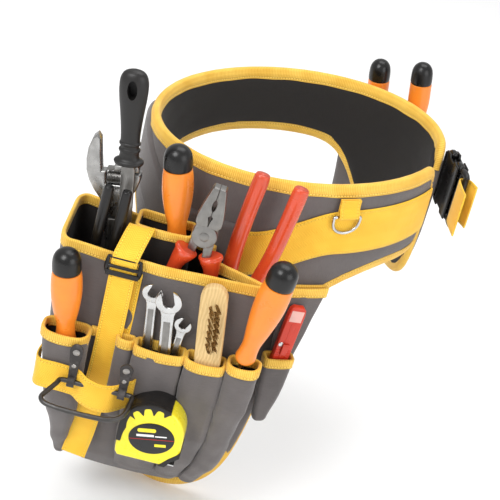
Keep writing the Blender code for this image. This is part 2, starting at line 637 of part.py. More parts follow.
def build_tools():
    driver("driver_centre", frame(-92.5, -165, -26, -9.5), DRIVER_LARGE, 3.4, 80)
    driver("driver_left", frame(-173.5, -222.2, -127, -7, 3), DRIVER_LARGE, 3.4, 75)
    driver("driver_right", frame(-2.0, -219.9, -99.8, 8.5, 3.5), DRIVER_WIDE, 3.0, 62)
    driver("driver_far_left", frame(80, 158, -22, -7), DRIVER_SMALL, 2.8, 45)
    driver("driver_far_right", frame(124.8, 137, -5, -7.5), DRIVER_SMALL, 2.8, 40)

    wrench = frame(-166, -146.5, 30, -9)
    outline = [(-8, -150), (8, -150), (9.5, -60), (12, -38), (22, -24), (26, -12), (25.5, -5.4), (8, -5.4),
               (8, -19), (-8, -19), (-8, -5.4), (-12, -5.4), (-13, 30), (-18, 33), (-25, 18), (-27, -6),
               (-22, -24), (-12, -38), (-9.5, -60)]
    plate("wrench_body", outline, 12, "chrome_steel", wrench)
    jaw = [(0, -5.0), (24, -5.0), (23, 4), (17, 22), (12, 27), (8, 26), (8, 0), (0, 0)]
    plate("wrench_jaw", jaw, 10.5, "chrome_steel", wrench)
    worm = wrench @ Matrix.Translation((0, 0, -12.6)) @ Matrix.Rotation(math.pi / 2, 4, "Y")
    revolve("wrench_worm", [(-7.4, 4.6), (-6.4, 5.6), (6.4, 5.6), (7.4, 4.6)], "grey_steel", worm, 12)

    file = frame(-151.5, -168, 46, -6.2)
    grip = [(GAP, 13.0), (3.5, 13.6), (6, 9.6), (14, 8.6), (15, 9.8), (17, 9.8), (18, 8.6), (21, 8.6),
            (22, 9.8), (24, 9.8), (25, 8.8), (52, 10.2), (84, 12.6), (92, 11.5), (96, 7)]
    revolve("file_handle", grip, "black_plastic", file)
    box("file_blade", (-6.5, -2.5, -190), (6.5, 2.5, 0), "grey_steel", file)

    cutter = frame(-160.5, -187, -92, 3)
    grip = [(6.4, 18), (8.6, 60), (8.8, 116)]
    edge = [(0.3, -9.0), (8.0, -9.5), (6.5, -22), (2.4, -46), (0.3, -46)]
    for side, name in ((-1, "left"), (1, "right")):
        pivot_half("cutter_" + name, cutter, side, 4.5, 8.5, grip, edge, 5.0, "black_plastic")

    pliers = frame(-66.5, -188.7, 4, 5)
    grip = [(7.4, -13), (13, -26), (17.5, -40), (20, -70), (18.5, -112)]
    edge = [(0.3, 13.0), (12.0, 13.5), (10.5, 30), (6, 52), (0.3, 53)]
    for side, name in ((-1, "left"), (1, "right")):
        pivot_half("pliers_" + name, pliers, side, 5.5, 12.2, grip, edge, 4.0, "grey_steel")
        sleeve = [(11.3, -22), (14.4, -30), (17.5, -40), (20, -70), (18.5, -112)]
        outer = tube("pliers_sleeve_" + name, [(side * x, 0, z) for x, z in sleeve], 7.2, "red_plastic",
                     pliers, 10)
        bore = [(side * x, 0, z) for x, z in [(7.4, -13), *grip[1:], (18.5, -140)]]
        cut(outer, tube("bore", bore, 4.45, "red_plastic", pliers, 10))

    pincer = frame(-30, -163, -107.6, 7.4)
    grip = [(8.4, 22), (13, 50), (17.4, 90), (19, 130), (19.3, 170)]
    edge = [(0.3, -14), (13, -14.5), (12, -30), (5, -46), (0.3, -46)]
    for side, name in ((-1, "left"), (1, "right")):
        pivot_half("pincer_" + name, pincer, side, 5.5, 13, grip, edge, 7.6, "red_plastic")

    spanner("spanner_back", frame(-101, -214.2, -57, -5), 19, 8, 98, 3.4)
    spanner("spanner_front", frame(-84, -219.6, -59, -6), 25, 11, 104, 4.2)
    spanner("spanner_small", frame(-66.5, -215.4, -83, 4), 17, 7, 72, 3.2)

    brush = frame(-39.6, -219.4, -77, -6)
    block = [(-8, -79), (8, -79), (9.5, -52), (12.8, -42), (12.8, 40), (9, 47), (0, 49.5), (-9, 47),
             (-12.8, 40), (-12.8, -42), (-9.5, -52)]
    plate("brush_block", block, 9.6, "pale_wood", brush)
    box("brush_bristles", (-8.5, -16.5, -16), (8.5, -5.2, 34), "brass_bristle", brush)

    knife = KNIFE_POCKET @ frame(1, -21.6, -128, 6)
    body = [(-9, -44), (9, -44), (9, 48), (6, 53), (-6, 53), (-9, 48)]
    plate("knife_body", body, 7.4, "red_plastic", knife)
    box("knife_slider", (-3.5, -6.4, -4), (3.5, -4.1, 10), "black_plastic", knife)

    tape = frame(-71.5, -244.8, -187, 0, -6)
    case = [(-31.5, -20), (-31.5, 2)]
    case += [(-31.5 * math.cos(a), 2 + 30 * math.sin(a)) for a in [k * math.pi / 12 for k in range(1, 11)]]
    case += [(31.5, 2), (31.5, -18), (20, -31), (-28, -31)]
    plate("tape_case", case, 30, "yellow_plastic", tape)
    box("tape_blade", (9, -8, -32.8), (28, 8, -31.5), "grey_steel", tape)


clear_scene()
build_belt()
build_webbing()
build_buckle()
build_pouch()
build_straps()
build_tools()
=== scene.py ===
"""Looks for the tool belt: sewn cloth, webbing, bound edges and the tools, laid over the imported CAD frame.

Lengths are millimetres in the row frame until a piece is made, which writes them as metres.
"""

import math

import bmesh
import bpy
import numpy as np
from mathutils import Matrix, Vector


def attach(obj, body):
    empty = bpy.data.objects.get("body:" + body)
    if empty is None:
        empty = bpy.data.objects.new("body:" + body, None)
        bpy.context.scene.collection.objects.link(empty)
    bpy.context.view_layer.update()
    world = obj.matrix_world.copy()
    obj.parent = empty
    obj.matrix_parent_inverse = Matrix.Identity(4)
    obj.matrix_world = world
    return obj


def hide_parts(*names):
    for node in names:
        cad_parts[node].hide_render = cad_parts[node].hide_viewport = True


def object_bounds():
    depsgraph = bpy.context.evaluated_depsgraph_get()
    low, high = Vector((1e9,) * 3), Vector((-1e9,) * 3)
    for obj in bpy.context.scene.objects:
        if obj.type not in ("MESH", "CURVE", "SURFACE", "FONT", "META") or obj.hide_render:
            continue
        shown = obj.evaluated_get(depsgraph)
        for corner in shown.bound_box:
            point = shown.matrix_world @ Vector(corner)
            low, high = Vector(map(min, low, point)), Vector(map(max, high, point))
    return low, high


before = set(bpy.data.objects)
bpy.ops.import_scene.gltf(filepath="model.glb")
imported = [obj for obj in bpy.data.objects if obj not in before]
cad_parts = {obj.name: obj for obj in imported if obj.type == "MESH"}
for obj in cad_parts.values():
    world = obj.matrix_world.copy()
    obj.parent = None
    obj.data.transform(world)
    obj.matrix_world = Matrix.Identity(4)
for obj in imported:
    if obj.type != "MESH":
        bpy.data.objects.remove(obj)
CAD_BOX = [list(corner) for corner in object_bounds()]
MM = 0.001
ROOT = "belt_and_pouch"


# ---- Materials ---------------------------------------------------------------------------------


class Paint:
    """A material under construction: thin helpers over its node tree."""

    def __init__(self, name, rough=0.5, metal=0.0, **sockets):
        self.made = bpy.data.materials.new(name)
        self.made.use_nodes = True
        self.tree = self.made.node_tree
        self.shader = self.tree.nodes["Principled BSDF"]
        self.shader.inputs["Roughness"].default_value = rough
        self.shader.inputs["Metallic"].default_value = metal
        for key, value in sockets.items():
            self.shader.inputs[key.replace("_", " ")].default_value = value

    def node(self, kind, inputs=(), **settings):
        made = self.tree.nodes.new("ShaderNode" + kind)
        for key, value in settings.items():
            setattr(made, key, value)
        for key, value in dict(inputs).items():
            self.put(made.inputs[key], value)
        return made

    def put(self, socket, value):
        if isinstance(value, bpy.types.NodeSocket):
            self.tree.links.new(value, socket)
        else:
            socket.default_value = value

    def math(self, operation, *values, clamp=False):
        made = self.node("Math", operation=operation, use_clamp=clamp)
        for k, value in enumerate(values):
            self.put(made.inputs[k], value)
        return made.outputs[0]

    def where(self, space="UV"):
        return self.node("TexCoord").outputs[space]

    def split(self, vector):
        made = self.node("SeparateXYZ", {"Vector": vector})
        return made.outputs["X"], made.outputs["Y"], made.outputs["Z"]

    def noise(self, vector, scale, detail=3.0, rough=0.55, stretch=None):
        if stretch:
            vector = self.node("Mapping", {"Vector": vector, "Scale": stretch}).outputs[0]
        made = self.node("TexNoise", {"Vector": vector, "Scale": scale, "Detail": detail, "Roughness": rough})
        return made.outputs["Fac"]

    def ramp(self, value, low, high, to_low=0.0, to_high=1.0):
        made = self.node("MapRange", {"Value": value, "From Min": low, "From Max": high,
                                      "To Min": to_low, "To Max": to_high})
        return made.outputs[0]

    def mix(self, share, first, second, blend="MIX"):
        made = self.node("Mix", data_type="RGBA", blend_type=blend)
        self.put(made.inputs["Factor"], share)
        for key, value in ((6, first), (7, second)):
            self.put(made.inputs[key], (*value, 1.0) if isinstance(value, tuple) else value)
        return made.outputs[2]

    def finish(self, colour=None, rough=None, height=None, strength=0.4, depth=0.0004):
        if colour is not None:
            self.put(self.shader.inputs["Base Color"], colour)
        if rough is not None:
            self.put(self.shader.inputs["Roughness"], rough)
        if height is not None:
            bump = self.node("Bump", {"Height": height, "Strength": strength, "Distance": depth})
            self.put(self.shader.inputs["Normal"], bump.outputs[0])
        return self.made


def weave_of(paint, u, v, pitch):
    """Plain weave: warp and weft cross over and under, so the height runs in a basket."""
    a = paint.math("SINE", paint.math("MULTIPLY", u, math.pi / pitch))
    b = paint.math("SINE", paint.math("MULTIPLY", v, math.pi / pitch))
    over, under = paint.math("ABSOLUTE", a), paint.math("ABSOLUTE", b)
    side = paint.math("GREATER_THAN", paint.math("MULTIPLY", a, b), 0.0)
    return paint.math("ADD", paint.math("MULTIPLY", over, side),
                      paint.math("MULTIPLY", under, paint.math("SUBTRACT", 1.0, side)))


def stitch_of(paint, u, v, lines, pitch=0.0032, half=0.0005):
    """Rows of running stitch at the given distances v: 1 on the thread, 0 off it."""
    dash = paint.math("LESS_THAN", paint.math("FRACT", paint.math("DIVIDE", u, pitch)), 0.74)
    total = 0.0
    for line in lines:
        near = paint.math("LESS_THAN", paint.math("ABSOLUTE", paint.math("SUBTRACT", v, line)), half)
        total = paint.math("ADD", total, near)
    return paint.math("MULTIPLY", dash, total, clamp=True)


def cloth(name, colour, shade, pitch=0.0009, rough=0.86, sheen=0.25, lines=()):
    """Coated polyester: fine plain weave, soft cloudy dirt and creasing."""
    paint = Paint(name, rough, Sheen_Weight=sheen, Sheen_Roughness=0.5, Specular_IOR_Level=0.35)
    spot = paint.where()
    u, v, _ = paint.split(spot)
    body = paint.where("Object")
    weave = weave_of(paint, u, v, pitch)
    threads = paint.noise(spot, 900.0, 2.0, stretch=(1.0, 0.12, 1.0))
    clouds = paint.noise(body, 28.0, 4.0)
    creases = paint.noise(body, 60.0, 6.0, 0.6)
    tone = paint.math("ADD", paint.ramp(clouds, 0.3, 0.72, 0.0, 0.55), paint.ramp(threads, 0.3, 0.7, 0.0, 0.25))
    tone = paint.math("ADD", tone, paint.ramp(weave, 0.0, 1.0, 0.0, 0.2), clamp=True)
    tint = paint.mix(tone, shade, colour)
    height = paint.math("ADD", paint.math("MULTIPLY", weave, 0.5), paint.math("MULTIPLY", creases, 1.6))
    if lines:
        thread = stitch_of(paint, u, v, lines)
        tint = paint.mix(thread, tint, tuple(c * 1.35 for c in colour))
        height = paint.math("ADD", height, paint.math("MULTIPLY", thread, 0.8))
    return paint.finish(tint, paint.ramp(clouds, 0.3, 0.7, rough - 0.1, min(rough + 0.08, 1.0)), height, 0.5)


def webbing(name, colour, shade, rib=0.0021, lines=(), slant=0.55, width=0.05):
    """Ribbed polyester webbing or binding tape: slanted ribs in bands, woven edges, sewn rows, and painted shade in the
    sunk furrow along the first row.
    """
    paint = Paint(name, 0.72, Sheen_Weight=0.2, Sheen_Roughness=0.4, Specular_IOR_Level=0.4)
    spot = paint.where()
    u, v, _ = paint.split(spot)
    zig = paint.math("PINGPONG", v, width / 8)
    ribs = paint.math("SINE", paint.math("MULTIPLY", paint.math("ADD", u, paint.math("MULTIPLY", zig, slant)),
                                         2 * math.pi / rib))
    cross = paint.math("SINE", paint.math("MULTIPLY", v, 2 * math.pi / 0.0011))
    weave = paint.math("ADD", paint.math("MULTIPLY", ribs, 0.42), paint.math("MULTIPLY", cross, 0.18))
    worn = paint.noise(paint.where("Object"), 45.0, 5.0, 0.6)
    fuzz = paint.noise(spot, 1400.0, 2.0)
    tone = paint.math("ADD", paint.ramp(worn, 0.3, 0.7, 0.1, 0.75), weave, clamp=True)
    tint = paint.mix(tone, shade, colour)
    height = paint.math("ADD", weave, paint.math("MULTIPLY", fuzz, 0.5))
    if lines:
        thread = stitch_of(paint, u, v, lines)
        pale = tuple(min(1.0, c * 1.12 + 0.02) for c in colour)
        tint = paint.mix(thread, tint, pale)
        # The furrow along the first stitch row sinks in the bump, and between its stitches the tape colour is darkened
        # there as painted shade.
        furrow_depth_and_shade = paint.math("LESS_THAN", paint.math("ABSOLUTE", paint.math("SUBTRACT", v, lines[0])), 0.0009)
        tint = paint.mix(paint.math("MULTIPLY", furrow_depth_and_shade, paint.math("SUBTRACT", 1.0, thread)), tint,
                         tuple(c * 0.72 for c in shade))
        height = paint.math("ADD", height, paint.math("MULTIPLY", furrow_depth_and_shade, -1.2))
        height = paint.math("ADD", height, paint.math("MULTIPLY", thread, 1.6))
    return paint.finish(tint, paint.ramp(fuzz, 0.3, 0.7, 0.62, 0.84), height, 0.45, 0.0005)


def plastic(name, colour, rough, grain=0.15, scale=420.0, spots=0.0, **sockets):
    """Moulded plastic: orange-peel skin, light handling marks and slightly uneven gloss."""
    paint = Paint(name, rough, **sockets)
    body = paint.where("Object")
    skin = paint.noise(body, scale, 3.0)
    smear = paint.noise(body, 35.0, 4.0, 0.6)
    tint = paint.mix(paint.ramp(smear, 0.32, 0.7), tuple(c * 0.86 for c in colour), colour)
    if spots:
        mottle = paint.noise(body, 900.0, 1.0)
        tint = paint.mix(paint.ramp(mottle, 0.58, 0.66, 0.0, spots), tint, tuple(c * 0.7 for c in colour))
    return paint.finish(tint, paint.ramp(smear, 0.3, 0.7, rough * 0.75, min(1.0, rough * 1.3)), skin, grain, 0.0003)


def steel(name, colour, rough, brushed=(1.0, 1.0, 0.08), scale=700.0, dirt=0.25, strength=0.12):
    """Metal: brushed or rolled marks along one way, smudges and darker hollows."""
    paint = Paint(name, rough, 1.0)
    body = paint.where("Object")
    lines = paint.noise(body, scale, 3.0, stretch=brushed)
    smudge = paint.noise(body, 70.0, 5.0, 0.6)
    tint = paint.mix(paint.ramp(smudge, 0.35, 0.7, 0.0, dirt), colour, tuple(c * 0.45 for c in colour))
    gloss = paint.math("ADD", paint.ramp(lines, 0.3, 0.7, rough * 0.7, rough * 1.3),
                       paint.ramp(smudge, 0.4, 0.7, 0.0, 0.12))
    return paint.finish(tint, gloss, lines, strength, 0.0002)


def leather(name, colour):
    paint = Paint(name, 0.55, Specular_IOR_Level=0.4)
    body = paint.where("Object")
    cells = paint.node("TexVoronoi", {"Vector": body, "Scale": 620.0}, feature="DISTANCE_TO_EDGE").outputs[0]
    scuff = paint.noise(body, 90.0, 5.0, 0.65)
    tint = paint.mix(paint.ramp(scuff, 0.5, 0.72), colour, tuple(c * 2.6 + 0.02 for c in colour))
    height = paint.math("ADD", paint.ramp(cells, 0.0, 0.25), paint.math("MULTIPLY", scuff, 0.6))
    return paint.finish(tint, paint.ramp(scuff, 0.3, 0.7, 0.4, 0.75), height, 0.35, 0.0004)


def wood(name, pale, dark):
    paint = Paint(name, 0.55, Specular_IOR_Level=0.35)
    body = paint.where("Object")
    bend = paint.noise(body, 22.0, 3.0, stretch=(1.0, 1.0, 0.18))
    rings = paint.node("TexWave", {"Vector": body, "Scale": 95.0, "Distortion": 5.0, "Detail": 3.0,
                                   "Detail Scale": 0.6}, wave_type="BANDS", bands_direction="X").outputs["Fac"]
    pores = paint.noise(body, 1500.0, 2.0, stretch=(1.0, 1.0, 0.06))
    share = paint.math("ADD", paint.math("MULTIPLY", rings, 0.45), paint.ramp(bend, 0.3, 0.7, 0.0, 0.4), clamp=True)
    tint = paint.mix(share, pale, dark)
    tint = paint.mix(paint.ramp(pores, 0.56, 0.72, 0.0, 0.4), tint, tuple(c * 0.5 for c in dark))
    return paint.finish(tint, paint.ramp(pores, 0.3, 0.7, 0.42, 0.7), pores, 0.2, 0.0003)


def bristle(name):
    """Crimped wire tufts: brown brass that varies from wire to wire."""
    paint = Paint(name, 0.42, 0.85)
    body = paint.where("Object")
    wires = paint.noise(body, 900.0, 2.0)
    tint = paint.mix(paint.ramp(wires, 0.35, 0.65), (0.07, 0.032, 0.012), (0.5, 0.3, 0.1))
    return paint.finish(tint, paint.ramp(wires, 0.3, 0.7, 0.3, 0.6), wires, 0.2, 0.0002)


GREY = cloth("grey_oxford", (0.150, 0.133, 0.130), (0.088, 0.078, 0.076))
BLACK = cloth("black_lining", (0.022, 0.019, 0.017), (0.010, 0.0085, 0.008), 0.0012, 0.82, 0.05)
TAPE = webbing("yellow_binding", (0.90, 0.60, 0.11), (0.70, 0.37, 0.03), 0.0019, (0.0021,), 0.0, 0.02)
STRAP = webbing("yellow_webbing", (0.96, 0.60, 0.052), (0.83, 0.44, 0.020), 0.0023, (0.0026,), 0.75, 0.05)
PLASTIC = plastic("black_plastic", (0.0065, 0.006, 0.006), 0.30, 0.10, Specular_IOR_Level=0.4)
RUBBER = plastic("black_rubber", (0.013, 0.012, 0.0115), 0.42, 0.2, 900.0, Specular_IOR_Level=0.4)
ORANGE = plastic("orange_grip", (0.94, 0.26, 0.022), 0.32, 0.12, 500.0, 0.2, Coat_Weight=0.15)
RED = plastic("red_grip", (0.66, 0.066, 0.018), 0.24, 0.06, 300.0, 0.0, Coat_Weight=0.4, Coat_Roughness=0.15)
RED_CASE = plastic("red_case", (0.66, 0.040, 0.014), 0.34, 0.2, 1200.0, 0.3)
YELLOW_CASE = plastic("yellow_case", (0.95, 0.80, 0.020), 0.3, 0.06, 300.0, 0.0, Coat_Weight=0.25)
BLACK_FACE = plastic("black_face", (0.008, 0.008, 0.009), 0.3, 0.03)
RED_LINE = plastic("red_line", (0.5, 0.01, 0.012), 0.4, 0.03)
CHROME = steel("chrome", (0.60, 0.60, 0.595), 0.2, (1.0, 1.0, 0.2), 400.0, 0.35, 0.08)
FORGED = steel("forged_chrome", (0.40, 0.395, 0.385), 0.26, (1.0, 1.0, 0.3), 300.0, 0.55, 0.12)
STEEL = steel("ground_steel", (0.27, 0.262, 0.25), 0.36, (1.0, 1.0, 0.06), 900.0, 0.4, 0.25)
WIRE = steel("coated_wire", (0.095, 0.092, 0.09), 0.38, (1.0, 1.0, 1.0), 500.0, 0.3, 0.15)
RIVET = steel("rivet", (0.42, 0.40, 0.38), 0.3, (1.0, 1.0, 1.0), 500.0, 0.5, 0.15)
LEATHER = leather("dark_leather", (0.032, 0.028, 0.027))
WOOD = wood("brush_wood", (0.74, 0.54, 0.26), (0.52, 0.33, 0.12))
BRISTLE = bristle("brass_wire")
LABEL = plastic("paper_label", (0.86, 0.50, 0.44), 0.6, 0.05)
LABEL_WHITE = plastic("white_print", (0.85, 0.85, 0.85), 0.5, 0.03)


# ---- Meshes ------------------------------------------------------------------------------------


def smooth(value):
    value = min(max(value, 0.0), 1.0)
    return value * value * (3 - 2 * value)


def distances(points):
    """Distance of each point along the line that joins them, from 0."""
    return np.concatenate([[0], np.cumsum(np.linalg.norm(np.diff(points, axis=0), axis=1))])


def spline(points, spacing=3.0, closed=False):
    """A Catmull-Rom line through the points, at an even spacing."""
    spots = np.array(points, float)
    count = len(spots)
    dense = []
    last = count if closed else count - 1
    for i in range(last):
        before = spots[i - 1] if (i or closed) else spots[0] * 2 - spots[1]
        here, there = spots[i], spots[(i + 1) % count]
        beyond = spots[(i + 2) % count] if (i + 2 < count or closed) else there * 2 - here
        for t in np.linspace(0, 1, 17)[:-1]:
            dense.append(0.5 * (2 * here + (there - before) * t + (2 * before - 5 * here + 4 * there - beyond)
                                * t * t + (3 * here - before - 3 * there + beyond) * t ** 3))
    dense.append(spots[0] if closed else spots[-1])
    dense = np.array(dense)
    run = distances(dense)
    steps = max(2, int(round(run[-1] / spacing)))
    even = np.linspace(0, run[-1], steps + 1)[: steps if closed else steps + 1]
    return np.stack([np.interp(even, run, dense[:, k]) for k in range(dense.shape[1])], axis=1)


def ripple(points, size, seed, waves=6):
    """Smooth repeatable unevenness from -1 to 1 at about the given wavelength in millimetres."""
    chance = np.random.default_rng(seed)
    total = np.zeros(points.shape[:-1])
    for _ in range(waves):
        heading = chance.normal(size=3)
        heading *= 2 * math.pi / size / np.linalg.norm(heading) * chance.uniform(0.7, 1.5)
        total += np.sin(points @ heading + chance.uniform(0, 2 * math.pi))
    return total / waves * 1.5


def make(name, points, faces, finish, body, uvs=None, stands=(), place=None, crease=None):
    """A shown piece. points are millimetres in the frame place, uvs are metres for each face corner."""
    place = place or Matrix()
    mesh = bpy.data.meshes.new(name)
    spots = np.asarray(points, float).reshape(-1, 3)
    turn = np.array(place)
    spots = (spots @ turn[:3, :3].T + turn[:3, 3]) * MM
    mesh.from_pydata([tuple(p) for p in spots], [], [tuple(int(i) for i in f) for f in faces])
    layer = mesh.uv_layers.new(name="UVMap")
    if uvs is not None:
        layer.data.foreach_set("uv", np.asarray(uvs, np.float32).ravel())
    work = bmesh.new()
    work.from_mesh(mesh)
    if uvs is None:
        box_uv(work, turn)
    bmesh.ops.recalc_face_normals(work, faces=work.faces)
    work.to_mesh(mesh)
    work.free()
    mesh.materials.append(finish)
    mesh.shade_smooth()
    if crease:
        mesh.set_sharp_from_angle(angle=math.radians(crease))
    made = bpy.data.objects.new(name, mesh)
    bpy.context.scene.collection.objects.link(made)
    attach(made, body)
    if stands:
        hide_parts(*stands)
    return made


def box_uv(work, turn):
    """Flat metric UVs from whichever way each face looks."""
    layer = work.loops.layers.uv.active
    for face in work.faces:
        face.normal_update()
        axis = max(range(3), key=lambda k: abs(face.normal[k]))
        a, b = ((1, 2), (0, 2), (0, 1))[axis]
        for loop in face.loops:
            loop[layer].uv = (loop.vert.co[a], loop.vert.co[b])


def skin_grid(name, grid, finish, body, stands=(), wrap=False, ring=False, uv=None, crease=None, place=None):
    """A body through rows of points: wrap closes each row on itself, ring joins the last row to the first."""
    grid = np.asarray(grid, float)
    rows, cols = grid.shape[:2]
    if uv is None:
        along = np.linalg.norm(np.diff(np.concatenate([grid, grid[:1]]), axis=0), axis=2).mean(1)
        across = np.linalg.norm(np.diff(np.concatenate([grid, grid[:, :1]], axis=1), axis=1), axis=2).mean(0)
        us = np.concatenate([[0], np.cumsum(along)]) * MM
        vs = np.concatenate([[0], np.cumsum(across)]) * MM
    else:
        us, vs = (np.asarray(values, float) * MM for values in uv)
    faces, uvs = [], []
    for i in range(rows if ring else rows - 1):
        k = (i + 1) % rows
        for j in range(cols if wrap else cols - 1):
            m = (j + 1) % cols
            faces.append((i * cols + j, i * cols + m, k * cols + m, k * cols + j))
            uvs += [(us[i], vs[j]), (us[i], vs[j + 1]), (us[i + 1], vs[j + 1]), (us[i + 1], vs[j])]
    if wrap and not ring:
        for start, u in ((0, us[0]), ((rows - 1) * cols, us[rows - 1])):
            faces.append(tuple(range(start, start + cols)))
            uvs += [(u, vs[j]) for j in range(cols)]
    return make(name, grid, faces, finish, body, uvs, stands, place, crease)


def frames_along(path, closed=False, up=None):
    """Tangent, side and other unit vectors at each point of a path, carried along without twist."""
    path = np.asarray(path, float)
    ahead = np.roll(path, -1, axis=0) - np.roll(path, 1, axis=0)
    if not closed:
        ahead[0], ahead[-1] = path[1] - path[0], path[-1] - path[-2]
    ahead /= np.linalg.norm(ahead, axis=1)[:, None]
    side = np.zeros_like(path)
    last = np.array(up, float) if up is not None else np.array(Vector(ahead[0]).orthogonal())
    for k, along in enumerate(ahead):
        last = (np.array(up, float) if up is not None else last)
        last = last - along * (last @ along)
        last = last / np.linalg.norm(last)
        side[k] = last
    return ahead, side, np.cross(ahead, side)


def rod(name, path, radius, finish, body, stands=(), place=None, sides=16, closed=False, spacing=2.0, flat=1.0,
        up=None):
    """A round or oval bar along a smoothed path. radius is a number or a list, one for each given point."""
    path = np.asarray(path, float)
    sizes = np.full(len(path), radius, float) if np.isscalar(radius) else np.asarray(radius, float)
    both = np.concatenate([path, sizes[:, None]], axis=1)
    both = spline(both, spacing, closed)
    path, sizes = both[:, :3], np.maximum(both[:, 3], 0.05)
    _, side, other = frames_along(path, closed, up)
    turns = np.linspace(0, 2 * math.pi, sides, endpoint=False)
    grid = path[:, None] + sizes[:, None, None] * (
        side[:, None] * np.cos(turns)[None, :, None] + flat * other[:, None] * np.sin(turns)[None, :, None])
    return skin_grid(name, grid, finish, body, stands, wrap=True, ring=closed, place=place)


def turned(name, profile, finish, body, stands=(), place=None, sides=40, round_it=True, crease=35):
    """A lathe body about local Z from (height, radius) points, smoothed between them."""
    spots = np.asarray(profile, float)
    if round_it:
        spots = spline(spots, 1.2)
    turns = np.linspace(0, 2 * math.pi, sides, endpoint=False)
    grid = np.stack([np.stack([r * np.cos(turns), r * np.sin(turns), np.full(sides, h)], axis=1)
                     for h, r in spots])
    return skin_grid(name, grid, finish, body, stands, wrap=True, crease=crease, place=place)


def slab(name, outline, low, high, finish, body, stands=(), place=None, bevel=0.8, segments=3, holes=(),
         crease=40):
    """A plate from an outline in local XZ, from y low to y high, with rounded edges and through holes."""
    work = bmesh.new()

    def loop_at(points, y):
        return [work.verts.new((x, y, z)) for x, z in points]

    front, back = loop_at(outline, low), loop_at(outline, high)
    rims = [(front, back)] + [(loop_at(h, low), loop_at(h, high)) for h in holes]
    for a, b in rims:
        for i in range(len(a)):
            j = (i + 1) % len(a)
            work.faces.new((a[i], a[j], b[j], b[i]))
    for level in (0, 1):
        edges = []
        for pair in rims:
            ring = pair[level]
            for i in range(len(ring)):
                edges.append(work.edges.get((ring[i], ring[(i + 1) % len(ring)])))
        if holes:
            bmesh.ops.triangle_fill(work, use_beauty=True, edges=edges)
        else:
            work.faces.new(rims[0][level])
    bmesh.ops.recalc_face_normals(work, faces=work.faces)
    if bevel:
        rim_edges = [e for e in work.edges if len(e.link_faces) == 2 and abs(e.calc_face_angle(0)) > 0.9
                     and abs(e.verts[0].co.y - e.verts[1].co.y) < 1e-6]
        bmesh.ops.bevel(work, geom=rim_edges, offset=bevel, segments=segments, profile=0.5, affect="EDGES",
                        clamp_overlap=True)
    work.verts.index_update()
    points = [tuple(v.co) for v in work.verts]
    faces = [[v.index for v in f.verts] for f in work.faces]
    work.free()
    return make(name, points, faces, finish, body, None, stands, place, crease)


def rect(x0, z0, x1, z1):
    return [(x0, z0), (x1, z0), (x1, z1), (x0, z1)]


def frame_at(x, y, z, lean=0.0, tip=0.0):
    """A frame at a point: lean tilts its top to +X and tip turns it about X."""
    tilt = Matrix.Rotation(math.radians(lean), 4, "Y") @ Matrix.Rotation(math.radians(tip), 4, "X")
    return Matrix.Translation((x, y, z)) @ tilt


# ---- The belt ----------------------------------------------------------------------------------

OVAL = (160.0, 125.0, math.radians(35))
SHELL_OUT, SHELL_IN, LINING_OUT, LINING_IN = 3.0, -3.0, -3.4, -6.8
PINCH = 2.4
WEBBING_HALF = 25
LOWER_EDGE = (
    (-46, -20), (-47.5, -36), (-50, -46), (-55, -51), (-72, -50), (-84, -56), (-94, -68), (-99, -80),
    (-102.5, -105), (-106, -150), (-110, -215), (-114, -272), (-118, -303), (-124, -323), (-132, -335),
    (-142, -340), (-156, -336), (-166, -322), (-172, -302), (-176, -270), (-178.5, -220),
    (-181, -150), (-184, -95), (-188, -68), (-194, -56), (-204, -51), (-212, -47), (-228, -36),
    (-245, -28), (-262, -23), (-295, -23), (-312, -27), (-322, -48), (-332, -88), (-345, -122),
    (-357, -136), (-369, -136), (-378, -122), (-384, -90), (-387, -55), (-388.5, -30), (-389, -20),
)
TOP_EDGE = (
    (-46, 20), (-47.5, 36), (-50, 45), (-55, 50), (-217.5, 50), (-380, 50), (-384.5, 46), (-387.5, 36),
    (-389, 20),
)


def oval(degrees):
    t = np.radians(degrees)
    x, y, turn = OVAL[0] * np.cos(t), OVAL[1] * np.sin(t), OVAL[2]
    return x * math.cos(turn) - y * math.sin(turn), x * math.sin(turn) + y * math.cos(turn)


def skin(degrees, z, out):
    """Points at heights and distances outside the middle of the belt shell, as arrays."""
    degrees, z, out = np.broadcast_arrays(np.asarray(degrees, float), z, out)
    x, y = oval(degrees)
    ax, ay = oval(degrees + 0.5)
    bx, by = oval(degrees - 0.5)
    dx, dy = ax - bx, ay - by
    length = np.hypot(dx, dy)
    return np.stack([x + dy / length * out, y - dx / length * out, z + 0.0 * x], axis=-1)


ANGLES = np.arange(-46.0, -389.01, -0.5)
RUN = np.concatenate([[0], np.cumsum(np.hypot(*np.diff(np.array(oval(ANGLES)), axis=1)))])


def run_of(degrees):
    return np.interp(-np.asarray(degrees, float), -ANGLES, RUN)


def angle_of(run):
    """Plan angle at a distance round the belt, carried on straight past both ends."""
    run = np.asarray(run, float)
    inside = np.interp(run, RUN, ANGLES)
    return inside - np.maximum(run - RUN[-1], 0) / 2.4 + np.maximum(-run, 0) / 2.4


def rounded_edge(table):
    """The edge table as (distance round the belt, height), its corners cut four times and respaced."""
    spots = np.array(table, float)
    for _ in range(4):
        ahead = spots[:-1] * 0.25 + spots[1:] * 0.75
        behind = spots[:-1] * 0.75 + spots[1:] * 0.25
        spots = np.concatenate([spots[:1], np.stack([behind, ahead], axis=1).reshape(-1, 2), spots[-1:]])
    flat = np.stack([run_of(spots[:, 0]), spots[:, 1]], axis=1)
    run = distances(flat)
    even = np.linspace(0, run[-1], int(run[-1] / 3.0))
    return np.stack([np.interp(even, run, flat[:, k]) for k in range(2)], axis=1)


LOWER, TOP = rounded_edge(LOWER_EDGE), rounded_edge(TOP_EDGE)


def low_at(degrees):
    order = np.argsort(LOWER[:, 0], kind="stable")
    return np.interp(run_of(degrees), LOWER[order, 0], LOWER[order, 1])


def top_at(degrees):
    return np.interp(run_of(degrees), TOP[:, 0], TOP[:, 1])


def webbing_centre(degrees):
    if degrees > -150:
        return -34 * smooth((-96 - degrees) / 36)
    return -34 + 47.9 * smooth((-155 - degrees) / 45)


